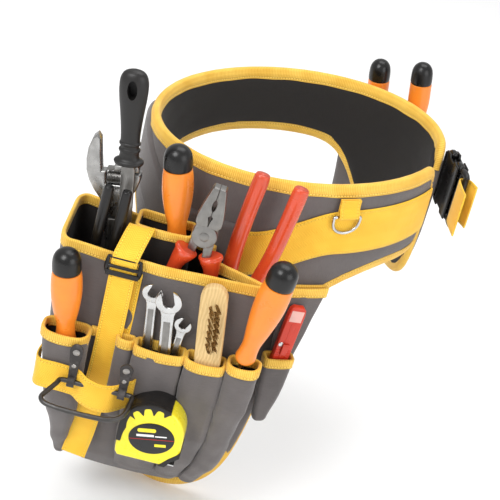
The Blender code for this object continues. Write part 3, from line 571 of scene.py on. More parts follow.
def belt_layer(name, outer, inner, finish, stands, puff_out, puff_in, seed):
    """One cloth layer: padded between its sewn edges, with slow waves and small puckers along them."""
    columns = np.concatenate([np.arange(-46.0, -56, -0.45), np.arange(-56.0, -97, -1.0),
                              np.arange(-97.0, -126, -0.5), np.arange(-126.0, -170, -1.2),
                              np.arange(-170.0, -196, -0.5), np.arange(-196.0, -310, -1.3),
                              np.arange(-310.0, -380, -0.9), np.arange(-380.0, -389.01, -0.45)])
    rows = 34
    share = np.linspace(0, 1, rows + 1)
    grid = []
    for degrees in columns:
        low, top = float(low_at(degrees)), float(top_at(degrees))
        z = low + (top - low) * share
        ends = min(1.0, (-46 - degrees) / 6 + 0.05, (degrees + 389) / 6 + 0.05)
        soft = np.sqrt(np.clip((np.minimum(z - low, top - z) - 8.0) / 14.0, 0, 1)) * max(ends, 0.0)
        middle = skin(degrees, z, 0.0)
        wave = ripple(middle, 85.0, seed) * 0.9 + ripple(middle, 30.0, seed + 1) * 0.45
        pucker = ripple(middle * (1, 1, 0.25), 13.0, seed + 2) * 0.35 * np.exp(
            -np.maximum(np.minimum(z - low, top - z) - 9, 0) / 7)
        press = 1.0
        if outer > 0 and -330 < degrees < -50:
            press = np.clip((np.abs(z - webbing_centre(degrees)) - WEBBING_HALF) / 9, 0, 1)
        squeeze = pinched(np.minimum(z - low, top - z), PINCH)
        out = outer + (puff_out * soft + wave * soft) * press + pucker * soft * press - squeeze * (outer > 0)
        back = inner - puff_in * soft - wave * soft * 0.6 * (puff_in > 0) + squeeze * (puff_in > 0)
        grid.append(np.concatenate([skin(degrees, z, out), skin(degrees, z[::-1], back[::-1])]))
    us = np.concatenate([run_of(columns), [0]])
    across = np.linalg.norm(np.diff(np.asarray(grid)[:, : rows + 1], axis=1), axis=2).mean(0)
    vs = np.concatenate([[0], np.cumsum(across)])
    vs = np.concatenate([vs, vs[-1] + vs, [2 * vs[-1]]])
    made = skin_grid(name, grid, finish, ROOT, stands, wrap=True, uv=(us, vs))
    true_v(made)
    return made


def true_v(made):
    """Resets v to real height on an upright sheet, so that its weave is the same size everywhere."""
    mesh = made.data
    co = np.empty(len(mesh.vertices) * 3)
    mesh.vertices.foreach_get("co", co)
    spots = np.empty(len(mesh.loops), np.int32)
    mesh.loops.foreach_get("vertex_index", spots)
    uv = np.empty(len(mesh.loops) * 2, np.float32)
    layer = mesh.uv_layers[0].data
    layer.foreach_get("uv", uv)
    uv = uv.reshape(-1, 2)
    uv[:, 1] = co.reshape(-1, 3)[spots, 2]
    layer.foreach_set("uv", uv.ravel())


def fold_section(outer, inner, leg, thick, pinch=0.0):
    """A folded tape in section: (inward, out) points round it and the distance of each from a free edge.

    The cloth is thinner by pinch on each side at the edge than a leg's width inward.
    """
    middle = (outer + inner) / 2
    half = (outer - inner) / 2 - pinch + thick
    face = [(leg, 0.05, 0.0), (leg - 0.25, 0.85, 0.4), (leg - 1.6, 0.8, 1.7), (leg - 2.4, 0.62, 2.5),
            (leg - 3.2, 0.85, 3.3),
            (leg * 0.5, 1.1, leg * 0.5), (leg * 0.25, 1.05, leg * 0.75)]
    points = [(x, outer - pinched(x, pinch) + thick * lift, v) for x, lift, v in face]
    for turn in np.linspace(0, math.pi, 9):
        points.append((half * 0.55 - half * 0.95 * math.sin(turn) ** 0.9, middle + half * math.cos(turn),
                       leg + half * min(turn, math.pi - turn) * 0.8))
    points += [(x, inner + pinched(x, pinch) - thick * lift, v) for x, lift, v in reversed(face)]
    points += [(1.5, inner + pinch + 0.2, -3.0), (1.5, outer - pinch - 0.2, -3.0)]
    return np.array(points)


def pinched(inward, pinch):
    """How far the padding is pressed down at a distance inside the sewn edge."""
    return pinch * np.clip(1 - np.asarray(inward, float) / 13.0, 0, 1) ** 1.3


def edge_binding(name, edge, upward, stands, seed):
    """The belt's folded tape: it follows an edge, wanders a little and puckers at its stitches."""
    section = fold_section(SHELL_OUT + 0.3, LINING_IN - 0.3, 10.5, 0.9, PINCH)
    tangent = np.gradient(edge, axis=0)
    tangent /= np.linalg.norm(tangent, axis=1)[:, None]
    side = np.stack([-tangent[:, 1], tangent[:, 0]], axis=1) * (-1 if upward else 1)
    path = skin(angle_of(edge[:, 0]), edge[:, 1], 0.0)
    wander = ripple(path, 42.0, seed) * 0.55
    swell = ripple(path, 17.0, seed + 3) * 0.18
    grid = []
    for k in range(len(edge)):
        inward = section[:, 0] * (1 + 0.05 * wander[k]) + wander[k] * np.clip(section[:, 0] / 10, 0, 1)
        flat = edge[k][None] + side[k][None] * inward[:, None]
        out = section[:, 1] + np.sign(section[:, 1] + 1.9) * swell[k]
        grid.append(skin(angle_of(flat[:, 0]), flat[:, 1], out))
    length = distances(path)
    return skin_grid(name, grid, TAPE, ROOT, stands, wrap=True,
                     uv=(np.append(length, length[-1] + 3), np.append(section[:, 2], 0.0)), crease=70)


def strap(name, path, half, thick, finish, body, across, stands=(), place=None, spacing=3.0, seed=1, wobble=0.25):
    """Woven strap along a path of points, its width along the direction across, its edges slightly rounded."""
    both = spline(path, spacing)
    _, side, other = frames_along(both, up=across)
    wave = ripple(both, 60.0, seed) * wobble
    cross = [(-1.0, 0.0), (-0.985, 0.42), (-0.93, 0.5)] + [(c, 0.5) for c in np.linspace(-0.8, 0.8, 7)]
    cross += [(0.93, 0.5), (0.985, 0.42), (1.0, 0.0), (0.985, -0.42), (0.93, -0.5)]
    cross += [(c, -0.5) for c in np.linspace(0.8, -0.8, 7)] + [(-0.93, -0.5), (-0.985, -0.42)]
    cross = np.array(cross)
    grid = []
    for k in range(len(both)):
        cup = (1 - cross[:, 0] ** 2) * wave[k] * 1.4
        grid.append(both[k] + side[k] * (cross[:, 0] * half)[:, None]
                    + other[k] * (cross[:, 1] * thick + cup)[:, None])
    run = distances(both)
    v = (1 - np.abs(cross[:, 0])) * half
    return skin_grid(name, grid, finish, body, stands, wrap=True, uv=(np.append(run, run[-1] + 3), np.append(v, v[0])),
                     crease=60, place=place)


def build_belt():
    belt_layer("belt_outer_cloth", SHELL_OUT, SHELL_IN, GREY, ("belt_shell",), 0.5, 0.0, 11)
    belt_layer("belt_inner_lining", LINING_OUT, LINING_IN, BLACK, ("belt_lining",), 0.0, 2.2, 23)
    edge_binding("top_binding_tape", TOP, True, ("belt_top_binding",), 5)
    edge_binding("lower_binding_tape", LOWER, False, ("belt_lower_binding",), 7)


# ---- The waist webbing and its fittings ---------------------------------------------------------


def on_skin(degrees, out, z=0.0):
    """A frame on the belt: local X along the belt to +X on the near side, local -Y outward."""
    spot, inner = skin(degrees, z, out), skin(degrees, z, out - 1)
    turn = math.atan2(spot[1] - inner[1], spot[0] - inner[0]) + math.pi / 2
    return Matrix.Translation(tuple(spot)) @ Matrix.Rotation(turn, 4, "Z")


D_RING = on_skin(-96, 6.0)
BUCKLE = Matrix.Translation((176, -5, 8)) @ Matrix.Rotation(math.radians(15.5), 4, "Z")


def build_webbing():
    angles = np.arange(-50.0, -330.1, -1.2)
    cross = [(-1.0, 0.3), (-0.985, 1.2), (-0.93, 1.55)] + [(c, 1.7) for c in np.linspace(-0.82, 0.82, 9)]
    cross += [(0.93, 1.55), (0.985, 1.2), (1.0, 0.3), (0.9, 0.0), (-0.9, 0.0)]
    cross = np.array(cross)
    grid = []
    for degrees in angles:
        z = webbing_centre(degrees) + cross[:, 0] * WEBBING_HALF
        middle = skin(degrees, z, 0.0)
        lift = 0.35 + ripple(middle, 70.0, 31) * 0.35 + ripple(middle, 24.0, 33) * 0.12
        grid.append(skin(degrees, z, 3.9 + cross[:, 1] + lift * np.clip(1.0 - cross[:, 0] ** 4, 0, 1)))
    v = (1 - np.abs(cross[:, 0])) * WEBBING_HALF
    skin_grid("waist_strap", grid, STRAP, ROOT, ("waist_webbing",), wrap=True,
              uv=(np.append(run_of(angles), run_of(angles)[-1] + 3), np.append(v, v[0])), crease=60)
    tunnel = np.arange(-130.0, -214.1, -1.0)
    rise = np.linspace(-1, 1, 25)
    sheet = []
    for degrees in tunnel:
        z = webbing_centre(degrees) + rise * 30.5
        middle = skin(degrees, z, 0.0)
        over = 3.3 + 3.9 * np.clip((1 - np.abs(rise)) / 0.16, 0, 1) ** 0.7
        over = over + ripple(middle, 46.0, 35) * 0.45 * np.clip(1 - rise ** 6, 0, 1)
        over = over + ripple(middle * (1, 1, 0.3), 15.0, 36) * 0.2
        sheet.append(np.concatenate([skin(degrees, z, over), skin(degrees, z[::-1], over[::-1] - 0.9)]))
    made = skin_grid("webbing_tunnel", sheet, GREY, ROOT, wrap=True, crease=70)
    true_v(made)
    fold = [(0, -0.9, 40), (0, -1.1, 34), (0, -1.6, 27), (0, -3.0, 22.4), (0, -4.9, 20.0), (0, -6.2, 20.6),
            (0, -6.4, 23),
            (0, -5.0, 27), (0, -3.3, 31), (0, -3.0, 39.4)]
    strap("d_ring_loop", fold, 11, 1.3, STRAP, ROOT, (1, 0, 0), ("d_ring_tab",), D_RING, 1.2, 3, 0.1)
    path = [(-13, 0, 0), (0, 0, 0.0), (13, 0, 0), (14.6, 0, -4), (13, 0, -11), (8, 0, -16), (0, 0, -18), (-8, 0, -16),
            (-13, 0, -11), (-14.6, 0, -4)]
    rod("d_ring_wire", path, 1.6, CHROME, "d_ring", ("d_ring",), D_RING @ Matrix.Translation((0, -3, 21)), 14, True,
        1.4)


def build_buckle():
    """Side-release buckle: local +Y runs from the tongue bar into the housing, +X is outward."""
    loop_path = [(-7.8, -29, 0), (-7.4, -16, 0), (-6.4, -4, 0), (-5.2, 2.5, 0), (-2.6, 5.4, 0), (3.2, 5.4, 0),
                 (6.6, 3.4, 0), (8.6, -2, 0), (10.2, -10, 0)]
    strap("buckle_strap_loop", loop_path, WEBBING_HALF, 1.7, STRAP, "buckle_tongue", (0, 0, 1), ("webbing_loop",),
          BUCKLE, 1.5, 4, 0.2)

    def bar(name, y, half, radius, flat, body):
        path = [(0, y, -half), (0, y, -half * 0.5), (0, y, half * 0.5), (0, y, half)]
        return rod(name, path, [radius * 0.8, radius, radius, radius * 0.8], PLASTIC, body, (), BUCKLE, 18,
                   spacing=2.0, flat=flat, up=(1, 0, 0))

    for side in (-1, 1):
        path = [(0, -3, 29 * side), (0, 4, 30 * side), (0, 12, 29.2 * side), (0, 14.8, 27 * side)]
        rod(f"tongue_rail_{'low' if side < 0 else 'high'}", path, [2.6, 3.5, 3.4, 2.8], PLASTIC, "buckle_tongue", (),
            BUCKLE, 16, spacing=1.5, up=(1, 0, 0))
    front = bar("tongue_bar", 0.4, 30.5, 3.7, 0.82, "buckle_tongue")
    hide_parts("buckle_tongue")
    bar("tongue_cross", 11.6, 29.5, 3.0, 0.9, "buckle_tongue")
    for side, name in ((1, "upper"), (-1, "lower")):
        root = BUCKLE @ Matrix.Translation((0, 15.8, 19 * side))
        path = [(0, -1, 0), (0, 8, 1.2 * side), (0, 17, 3.4 * side), (0, 24, 4.2 * side), (0, 28.5, 3.6 * side)]
        rod(f"prong_{name}_arm", path, [2.2, 2.1, 3.3, 3.4, 1.7], PLASTIC, "buckle_prong_" + name,
            ("buckle_prong_" + name,), root, 14, spacing=1.5, up=(1, 0, 0))
    outline = [(-31, 15.8), (-29.5, 15.2), (29.5, 15.2), (31, 15.8), (31.2, 29), (27.6, 31), (27.6, 44), (31.2, 46),
               (30, 56), (26, 60.5), (-26, 60.5), (-30, 56), (-31.2, 46), (-27.6, 44), (-27.6, 31), (-31.2, 29)]
    turn = BUCKLE @ Matrix(((0, 1, 0, 0), (0, 0, 1, 0), (1, 0, 0, 0), (0, 0, 0, 1)))
    slot_hole = rect(-25, 52.5, 25, 56.5)
    slab("buckle_shell_outer", outline, 3.9, 6.4, PLASTIC, ROOT, ("buckle_housing",), turn, 1.1, 3, (slot_hole,))
    slab("buckle_shell_inner", outline, -6.4, -3.9, PLASTIC, ROOT, (), turn, 1.1, 3, (slot_hole,))
    edges = (("side", ((46.5, 28), (53, 28), (58, 25.5)), [3.9, 4.3, 4.0]),
             ("mouth", ((16.5, 28.4), (22, 28.8), (29, 28.4)), [3.8, 4.1, 3.6]))
    for side, end in ((-1, "low"), (1, "high")):
        for part, spots, sizes in edges:
            rod(f"housing_{part}_{end}", [(0, y, z * side) for y, z in spots], sizes, PLASTIC, ROOT, (), BUCKLE, 14,
                spacing=1.5, up=(1, 0, 0))
    bar("housing_end_bar", 58.5, 26, 3.6, 0.9, ROOT)


# ---- The studio ---------------------------------------------------------------------------------


CAMERA_DOWN, CAMERA_ROLL, CAMERA_AWAY = 30.5, 14, 1600
LENS_OVER_SENSOR, SENSOR = 1568 / 500, 36


def build_studio():
    """The camera, three soft lights and a pale floor."""
    down, roll = math.radians(CAMERA_DOWN), math.radians(CAMERA_ROLL)
    right = Vector((1, 0, 0))
    up = Vector((0, math.sin(down), math.cos(down)))
    ahead = Vector((0, math.cos(down), -math.sin(down)))
    aim = Vector((0, 0, 50)) - 12 * right - 134.7 * up
    spot = (aim - CAMERA_AWAY * ahead - Vector((10, 9, 0))) * MM
    x = right * math.cos(roll) + up * math.sin(roll)
    y = up * math.cos(roll) - right * math.sin(roll)
    lens = bpy.data.cameras.new("camera")
    lens.lens = LENS_OVER_SENSOR * SENSOR
    lens.sensor_width = SENSOR
    camera = bpy.data.objects.new("camera", lens)
    bpy.context.scene.collection.objects.link(camera)
    camera.matrix_world = Matrix((
        (x.x, y.x, -ahead.x, spot.x), (x.y, y.y, -ahead.y, spot.y), (x.z, y.z, -ahead.z, spot.z), (0, 0, 0, 1)))
    bpy.context.scene.camera = camera

    def area(name, where, size, watts):
        light = bpy.data.lights.new(name, "AREA")
        light.shape, light.size, light.size_y = "RECTANGLE", size[0], size[1]
        light.energy = watts
        made = bpy.data.objects.new(name, light)
        bpy.context.scene.collection.objects.link(made)
        made.location = where
        made.rotation_euler = (Vector((0, -0.05, -0.1)) - Vector(where)).to_track_quat("-Z", "Y").to_euler()

    area("key_light", (-1.1, -1.5, 1.7), (1.2, 1.2), 36)
    area("fill_light", (1.6, -1.3, 0.7), (1.4, 1.4), 14)
    area("top_light", (0.1, 0.5, 1.9), (1.6, 1.2), 18)
    world = bpy.data.worlds.new("studio")
    world.use_nodes = True
    world.node_tree.nodes["Background"].inputs["Color"].default_value = (1, 1, 1, 1)
    world.node_tree.nodes["Background"].inputs["Strength"].default_value = 0.72
    bpy.context.scene.world = world
    bpy.context.scene.view_settings.view_transform = "Standard"
    pale = Paint("studio_floor", 0.9)
    spots = pale.noise(pale.where("Object"), 3.0)
    finish = pale.finish(pale.mix(pale.ramp(spots, 0.3, 0.7), (0.93, 0.93, 0.93), (0.95, 0.95, 0.95)))
    mesh = bpy.data.meshes.new("floor")
    low = CAD_BOX[0][2] - 0.001
    mesh.from_pydata([(-6, -4, low), (6, -4, low), (6, 8, low), (-6, 8, low)], [], [(0, 1, 2, 3)])
    mesh.materials.append(finish)
    floor = bpy.data.objects.new("floor", mesh)
    bpy.context.scene.collection.objects.link(floor)


# ---- The pouch -----------------------------------------------------------------------------------

MAIN_LEVELS = np.array((
    (-28, -199, 12, -203, -146), (-42, -199, 12, -203, -146), (-112, -198, 9, -206, -146),
    (-160, -191, 2, -206, -146), (-210, -182, -4, -200, -146), (-255, -172, -12, -190, -146),
    (-288, -162, -24, -178, -146), (-308, -150, -40, -166, -146)), float)
FRONT_BACK = (-209.8, -209.8, -203.8, -194, -184.6)
FRONT_Z = (-112, -160, -210, -255, -285)
FRONT_WALL = 1.4
RIM_TAPE = 0.75
KNIFE_POCKET = on_skin(-109, 0)
HIP = Matrix.Translation((93.5, 147.5, 0)) @ Matrix.Rotation(math.radians(156), 4, "Z")
LOCK = Matrix.Translation((-133, -212, -38))
HAMMER_AXIS = Matrix.Translation((-133, -244.4, -158))
GUSSET_FOLD = [(7, -200.5), (-6, -194.5), (-27, -184.5), (-47, -177.5), (-57, -169), (-60, -158), (-58, -149.5)]


def plan(x0, x1, y0, y1, radius, bow=0.0, skew=0.0, long=30, short=10, corner=6):
    """A rounded rectangle in plan, counter-clockwise from the front right corner, y0 its bowed front."""
    radius = min(radius, (x1 - x0) / 2.05, (y1 - y0) / 2.05)
    corners = ((x1 - radius, y0 + radius, 270, short), (x1 - radius, y1 - radius, 0, long),
               (x0 + radius, y1 - radius, 90, short), (x0 + radius, y0 + radius, 180, long))
    loop = []
    for k, (cx, cy, start, steps) in enumerate(corners):
        for t in np.radians(np.linspace(start, start + 90, corner + 1)):
            loop.append((cx + radius * math.cos(t), cy + radius * math.sin(t)))
        nx, ny, ahead, _ = corners[(k + 1) % 4]
        there = (nx + radius * math.cos(math.radians(ahead)), ny + radius * math.sin(math.radians(ahead)))
        here = loop[-1]
        loop += [(here[0] + (there[0] - here[0]) * s / steps, here[1] + (there[1] - here[1]) * s / steps)
                 for s in range(1, steps)]
    loop = np.array(loop)
    across = (loop[:, 0] - x0) / (x1 - x0)
    toward = (y1 - loop[:, 1]) / (y1 - y0)
    loop[:, 1] -= bow * np.maximum(0, 4 * across * (1 - across)) * toward
    loop[:, 1] += skew * np.maximum(0, -60 - loop[:, 0]) * (1 - toward)
    return loop


def outward(loop):
    ahead = np.roll(loop, -1, axis=0) - np.roll(loop, 1, axis=0)
    normal = np.stack([ahead[:, 1], -ahead[:, 0]], axis=1)
    return normal / np.maximum(np.linalg.norm(normal, axis=1), 1e-6)[:, None]


def main_loop(z):
    """Plan of the main pocket at a height: near the rim its right gusset folds in behind the pliers."""
    order = np.argsort(MAIN_LEVELS[:, 0])
    x0, x1, y0, y1 = (np.interp(z, MAIN_LEVELS[order, 0], MAIN_LEVELS[order, k]) for k in range(1, 5))
    loop = plan(x0, x1, y0, y1, 12, 3.0, 0.27)
    share = smooth((z + 165) / 115)
    count = 7 + 9 + 7 + 29
    tail = loop[count]
    bend = spline([*GUSSET_FOLD, ((tail[0] - 58) / 2, (tail[1] - 149.5) / 2), tuple(tail)], 2.0)
    run = distances(bend)
    even = np.linspace(0, run[-1], count + 1)
    moved = np.stack([np.interp(even, run, bend[:, k]) for k in range(2)], axis=1)
    loop[: count + 1] = loop[: count + 1] * (1 - share) + moved * share
    return loop


def rim_height(loop, z, sag, seed):
    """The rim rises and dips a little along its way, and its front sags."""
    spots = np.concatenate([loop, np.full((len(loop), 1), z)], axis=1)
    across = (loop[:, 0] - loop[:, 0].min()) / np.ptp(loop[:, 0])
    front = np.clip((loop[:, 1].mean() - loop[:, 1]) / np.ptp(loop[:, 1]) * 2 + 0.3, 0, 1)
    return z + ripple(spots, 75.0, seed) * 0.9 - sag * 4 * across * (1 - across) * front


def pocket(name, loops, wall, finish, stands, seed, puff=2.0, folds=1.4, sag=2.0, place=None):
    """A sewn cloth pocket: plan loops from the rim down, swelling between rim and base, with creases."""
    place = place or Matrix()
    heights = np.array([z for z, _ in loops])
    rows = np.linspace(0, len(loops) - 1, max(12, int((heights[0] - heights[-1]) / 4.0)))
    outer, inner = [], []
    top, base = heights[0], heights[-1]
    dip = rim_height(loops[0][1], top, sag, seed) - top
    for row in rows:
        k = min(int(row), len(loops) - 2)
        t = row - k
        t = t * t * (3 - 2 * t) * 0.3 + t * 0.7
        loop = loops[k][1] * (1 - t) + loops[k + 1][1] * t
        z = heights[k] * (1 - t) + heights[k + 1] * t
        depth = (top - z) / (top - base)
        spots = np.concatenate([loop, np.full((len(loop), 1), z)], axis=1)
        normal = outward(loop)
        front = np.clip(-normal[:, 1] * 1.4 + 0.25, 0.0, 1.0)
        free = min(1.0, (top - z) / 14.0) * min(1.0, (z - base) / 12.0 + 0.1)
        swell = puff * math.sin(math.pi * min(1.0, depth * 0.85 + 0.1)) * front
        crease = ripple(spots * (1, 1, 0.28), 34.0, seed + 1) * folds
        crease = crease + ripple(spots * (1, 1, 0.5), 15.0, seed + 2) * folds * 0.3
        drag = ripple(spots * (0.5, 0.5, 1.3), 46.0, seed + 3) * folds * 0.5
        lift = (swell + (crease + drag) * np.clip(front + 0.35, 0, 1)) * free
        slip = dip * (1 - depth) ** 2
        outer.append(np.concatenate([loop + normal * lift[:, None], (z + slip)[:, None]], axis=1))
        thin = loop + normal * (lift - wall)[:, None]
        inner.append(np.concatenate([thin, (z + slip)[:, None]], axis=1))
    last = outer[-1]
    centre = last.mean(0)
    for share, drop in ((0.86, 2.2), (0.6, 4.0), (0.3, 4.8), (0.04, 5.0)):
        ring = centre + (last - centre) * share
        ring[:, 2] = centre[2] - drop
        outer.append(ring)
        inner.append(ring + (0, 0, wall))
    grid = np.array(list(reversed(inner)) + outer)
    made = skin_grid(name, grid, finish, ROOT, stands, wrap=True, place=place)
    made.data.materials.append(BLACK)
    cols = grid.shape[1]
    for k, face in enumerate(made.data.polygons):
        if k < (len(inner) - 1) * cols:
            face.material_index = 1


def rim_tape(name, loop, z, wall, sag, seed, stands=(), leg=10.0, place=None):
    """The folded tape sewn all round a rim."""
    section = fold_section(0.25, -wall - 0.25, leg, RIM_TAPE)
    heights = rim_height(loop, z, sag, seed)
    normal = outward(loop)
    spots = np.concatenate([loop, heights[:, None]], axis=1)
    wander = ripple(spots, 33.0, seed + 9) * 0.5
    swell = ripple(spots, 13.0, seed + 11) * 0.12
    grid = []
    for k in range(len(loop)):
        down = section[:, 0] + wander[k] * np.clip(section[:, 0] / 10, 0, 1)
        out = section[:, 1] + np.sign(section[:, 1] + wall / 2) * swell[k]
        grid.append(np.concatenate([loop[k] + normal[k] * out[:, None], (heights[k] - down)[:, None]], axis=1))
    run = distances(np.concatenate([spots, spots[:1]]))
    skin_grid(name, grid, TAPE, ROOT, stands, wrap=True, ring=True, place=place,
              uv=(run, np.append(section[:, 2], 0.0)), crease=70)


def front_pocket(name, x0, x1, depth, stands, seed, puff=1.2, bow=1.5, radius=5.0, folds=1.6, sag=2.0, rim=-112):
    """A pocket on the front of the pouch: it narrows and flattens towards the pouch's base."""
    loops = []
    for z, left, right, back, share in zip((rim, *FRONT_Z[1:]), x0, x1, FRONT_BACK, (1.0, 0.96, 0.74, 0.45, 0.18)):
        loops.append((z, plan(left, right, back - depth * share, back, radius, bow, 0.0, 20, 6)))
    pocket(name, loops, FRONT_WALL, GREY, stands, seed, puff, folds, sag)
    rim_tape(name + "_tape", loops[0][1], rim, FRONT_WALL, sag, seed)


def flat_pocket(name, levels, wall, stands, seed, place, radius=4.0, leg=10.0, puff=1.0, folds=0.8, finish=GREY):
    loops = [(z, plan(x0, x1, y0, y1, radius, 0.5, 0.0, 18, 5)) for z, x0, x1, y0, y1 in levels]
    pocket(name, loops, wall, finish, stands, seed, puff, folds, 0.6, place)
    rim_tape(name + "_tape", loops[0][1], levels[0][0], wall, 0.6, seed, (), leg, place)


def build_pouch():
    levels = [-28, -36, -48, -62, -80, -100, -125, -150, -180, -210, -240, -265, -288, -300, -308]
    loops = [(z, main_loop(z)) for z in levels]
    pocket("pouch_body", loops, 2.0, GREY, ("main_pocket",), 41, 0.6, 0.9, 2.5)
    rim_tape("pouch_rim_tape", loops[0][1], -28, 2.0, 2.5, 41, ("main_pocket_binding",), 10.5)
    flat_pocket("inner_pocket_cloth", [(-8, -133, -77.4, -181, -149.4), (-40, -128, -77.4, -180.5, -149.4),
                                       (-80, -123, -75, -179, -149.4), (-120, -118, -72, -178, -149.4)],
                1.6, ("inner_pocket",), 51, None, 6.0, 8.5, 0.8, 0.5, BLACK)
    front_pocket("left_pocket", (-197, -191, -183, -175, -170), (-151, -150, -151.5, -156, -158), 25.5,
                 ("front_pocket_left",), 61, 0.8, 1.5, 9)
    front_pocket("spanner_pocket", (-107, -107, -107, -107, -106), (-58, -58.5, -60, -62, -65), 16,
                 ("front_pocket_spanners",), 71, 1.2, 2.0, 4)
    front_pocket("brush_pocket", (-57, -57, -58, -60, -63), (-18, -19, -22, -29, -40), 17,
                 ("front_pocket_brush",), 81, 2.2, 2.0, 5, 1.8)
    front_pocket("driver_pocket", (-16.6, -17.5, -20.5, -27, -38), (15, 12, 6, -6, -20), 18.5,
                 ("front_pocket_driver",), 91, 0.8, 1.5, 7, 2.2, 2.0, -105)
    upper = [(-60, -22, 22, -13.6, -6.4), (-120, -22, 8, -13.6, -6.4), (-172, -20, -2, -13, -6.4)]
    flat_pocket("side_panel_upper", upper, 1.4, ("side_pocket_upper",), 101, on_skin(-104, 0), 3.0)
    knife = [(-136, -16, 14, -29, -14.4), (-170, -15.5, 10, -28.5, -14.4), (-215, -12, 3, -25, -14.4)]
    flat_pocket("knife_pocket_cloth", knife, 1.4, ("side_pocket_knife",), 111, KNIFE_POCKET, 4.0)
    hip = [(22, -46, 46, -17, 15), (-40, -45, 45, -16, 15), (-90, -42, 42, -10, 15), (-112, -34, 34, -2, 15)]
    flat_pocket("hip_pocket_cloth", hip, 2.0, ("hip_pocket",), 121, HIP, 8.0, 10.0, 2.0, 1.4)
    for name, x0, x1, depth in (("gap", -151.5, -124.5, 1.6), ("small_loop", -125.5, -107.5, 9.5)):
        y = -209.6
        loop = plan(x0, x1, y - depth, y, min(depth / 2.2, 6), 2.0 if depth > 5 else 0.0, 0.0, 14, 4)
        if depth > 5:
            low = [(z, loop + (0, (-112 - z) * -0.02)) for z in (-112, -135, -160, -185, -205)]
            low = [(z, (l - l.mean(0)) * (1, 1 - 0.1 * k) + l.mean(0) + (0, 0.9 * k)) for k, (z, l) in enumerate(low)]
            pocket(name + "_cloth", low, 1.4, GREY, (), 131, 1.0, 0.6, 0.6)
        rim_tape(name + "_tape", loop, -112, 0.6 if depth < 5 else FRONT_WALL, 0.4, 137)


def build_straps():
    path = [(-124.5, -182.4, -16), (-125.5, -183.4, -7), (-127, -192, -8.5), (-130, -203, -17),
            (-132, -211.0, -24), (-133, -213.0, -31), (-133, -213.4, -60), (-133.4, -213.4, -100),
            (-133.8, -213.8, -125),
            (-135, -214, -160), (-138.5, -209.4, -206), (-142.5, -203, -245), (-145.5, -201.5, -265),
            (-147, -203, -276)]
    strap("pouch_strap", path, 12.5, 1.5, STRAP, ROOT, (1, 0, 0), ("bag_strap",), None, 3.0, 17, 0.3)
    under = [(-121.5, -207.6, -44), (-121.8, -207.8, -75), (-122, -208.2, -102), (-123, -211.6, -135)]
    strap("pouch_strap_under", under, 7.5, 1.3, STRAP, ROOT, (1, 0, 0), (), None, 3.0, 19, 0.2)
    for k, (z, r, y) in enumerate(((8.6, 1.5, 0.2), (0.4, 1.7, -2.6), (-8.2, 1.9, -0.6))):
        bar = [(-15.6, y, z), (-8, y - 0.7, z), (8, y - 0.7, z), (15.6, y, z)]
        rod(f"ladder_bar_{k}", bar, r, PLASTIC, "ladder_lock", (), LOCK, 14, spacing=2.0)
    for side in (-1, 1):
        rail = [(15.6 * side, 0.6, -9.2), (16.0 * side, -1.5, -4), (16.0 * side, -2.2, 2), (15.6 * side, 0.4, 9.2)]
        rod(f"ladder_rail_{'left' if side < 0 else 'right'}", rail, [1.5, 2.3, 2.3, 1.4], PLASTIC, "ladder_lock", (),
            LOCK, 14, spacing=1.5)
    slab("ladder_lip", [(-16, -9.6), (16, -9.6), (16.4, -4.2), (-16.4, -4.2)], -4.6, -2.6, PLASTIC, "ladder_lock", (),
         LOCK, 0.8)
    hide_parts("ladder_lock")
    z = -152
    band = [(-196, -212, z - 10), (-197, -222, z - 10), (-196, -231, z - 10), (-190, -237.2, z - 9),
            (-176, -238.8, z - 8), (-162, -239.6, z - 8), (-154, -240.4, z - 9), (-144, -245.8, z - 12),
            (-131, -248.4, z - 14), (-119, -246.4, z - 14), (-111, -240, z - 14), (-105, -234.8, z - 13),
            (-100, -231.6, z - 12), (-98.8, -227.4, z - 12)]
    strap("hammer_band", band, 16, 1.7, STRAP, ROOT, (0, 0, 1), ("hammer_webbing",), None, 2.0, 21, 0.35)
    for name, x, top in (("left", -25, 42), ("right", 25, 33)):
        place = HAMMER_AXIS @ Matrix.Translation((x, 0, 0))
        outline = [(-3.4, -1), (3.4, -1), (4.2, 8), (4.8, top * 0.45), (6.2, top * 0.72), (6.4, top * 0.86),
                   (4.6, top - 2),
                   (1.6, top), (-1.6, top), (-4.6, top - 2), (-6.4, top * 0.86), (-6.2, top * 0.72), (-4.8, top * 0.45),
                   (-4.2, 8)]
        rounded = [tuple(p) for p in spline(outline, 1.6, True)]
        slab("leather_tab_" + name, rounded, 1.2, 4.4, LEATHER, ROOT, ("hammer_tab_" + name,), place, 0.9, 3)
        eye = [(4.4 * math.cos(a), 4.4 * math.sin(a)) for a in np.radians(np.arange(30, 331, 15))]
        strap("leather_eye_" + name, [(0, 0.2 - y, -x) for x, y in eye], 3.6, 2.2, LEATHER, ROOT, (1, 0, 0), (),
              place, 1.0, 5, 0.0)
        for k, (dz, r) in enumerate(((0.8, 3.4), (0.42, 2.3))):
            dome = [(0, r), (0.5, r), (1.1, r * 0.75), (1.4, r * 0.25)]
            spot = place @ Matrix.Translation((0, 1.3, top * dz)) @ Matrix.Rotation(math.pi / 2, 4, "X")
            turned(f"rivet_{name}_{k}", dome, RIVET, ROOT, (), spot, 20, False)
    wire = [(-34.5, 0), (-38, 7), (-44, 20), (-47, 28), (-44, 34), (-36, 37), (-20, 38.5), (4, 38.5), (20, 37),
            (29, 32),
            (34, 22), (35.5, 8), (34.5, 0)]
    path = [(x, -q * 0.989, -q * 0.148) for x, q in wire]
    path += [(20, 0, 0), (0, 0, 0), (-20, 0, 0)]
    rod("hammer_wire", path, 2.5, WIRE, "hammer_ring", ("hammer_ring",), HAMMER_AXIS, 16, True, 1.8)


# ---- The tools -----------------------------------------------------------------------------------


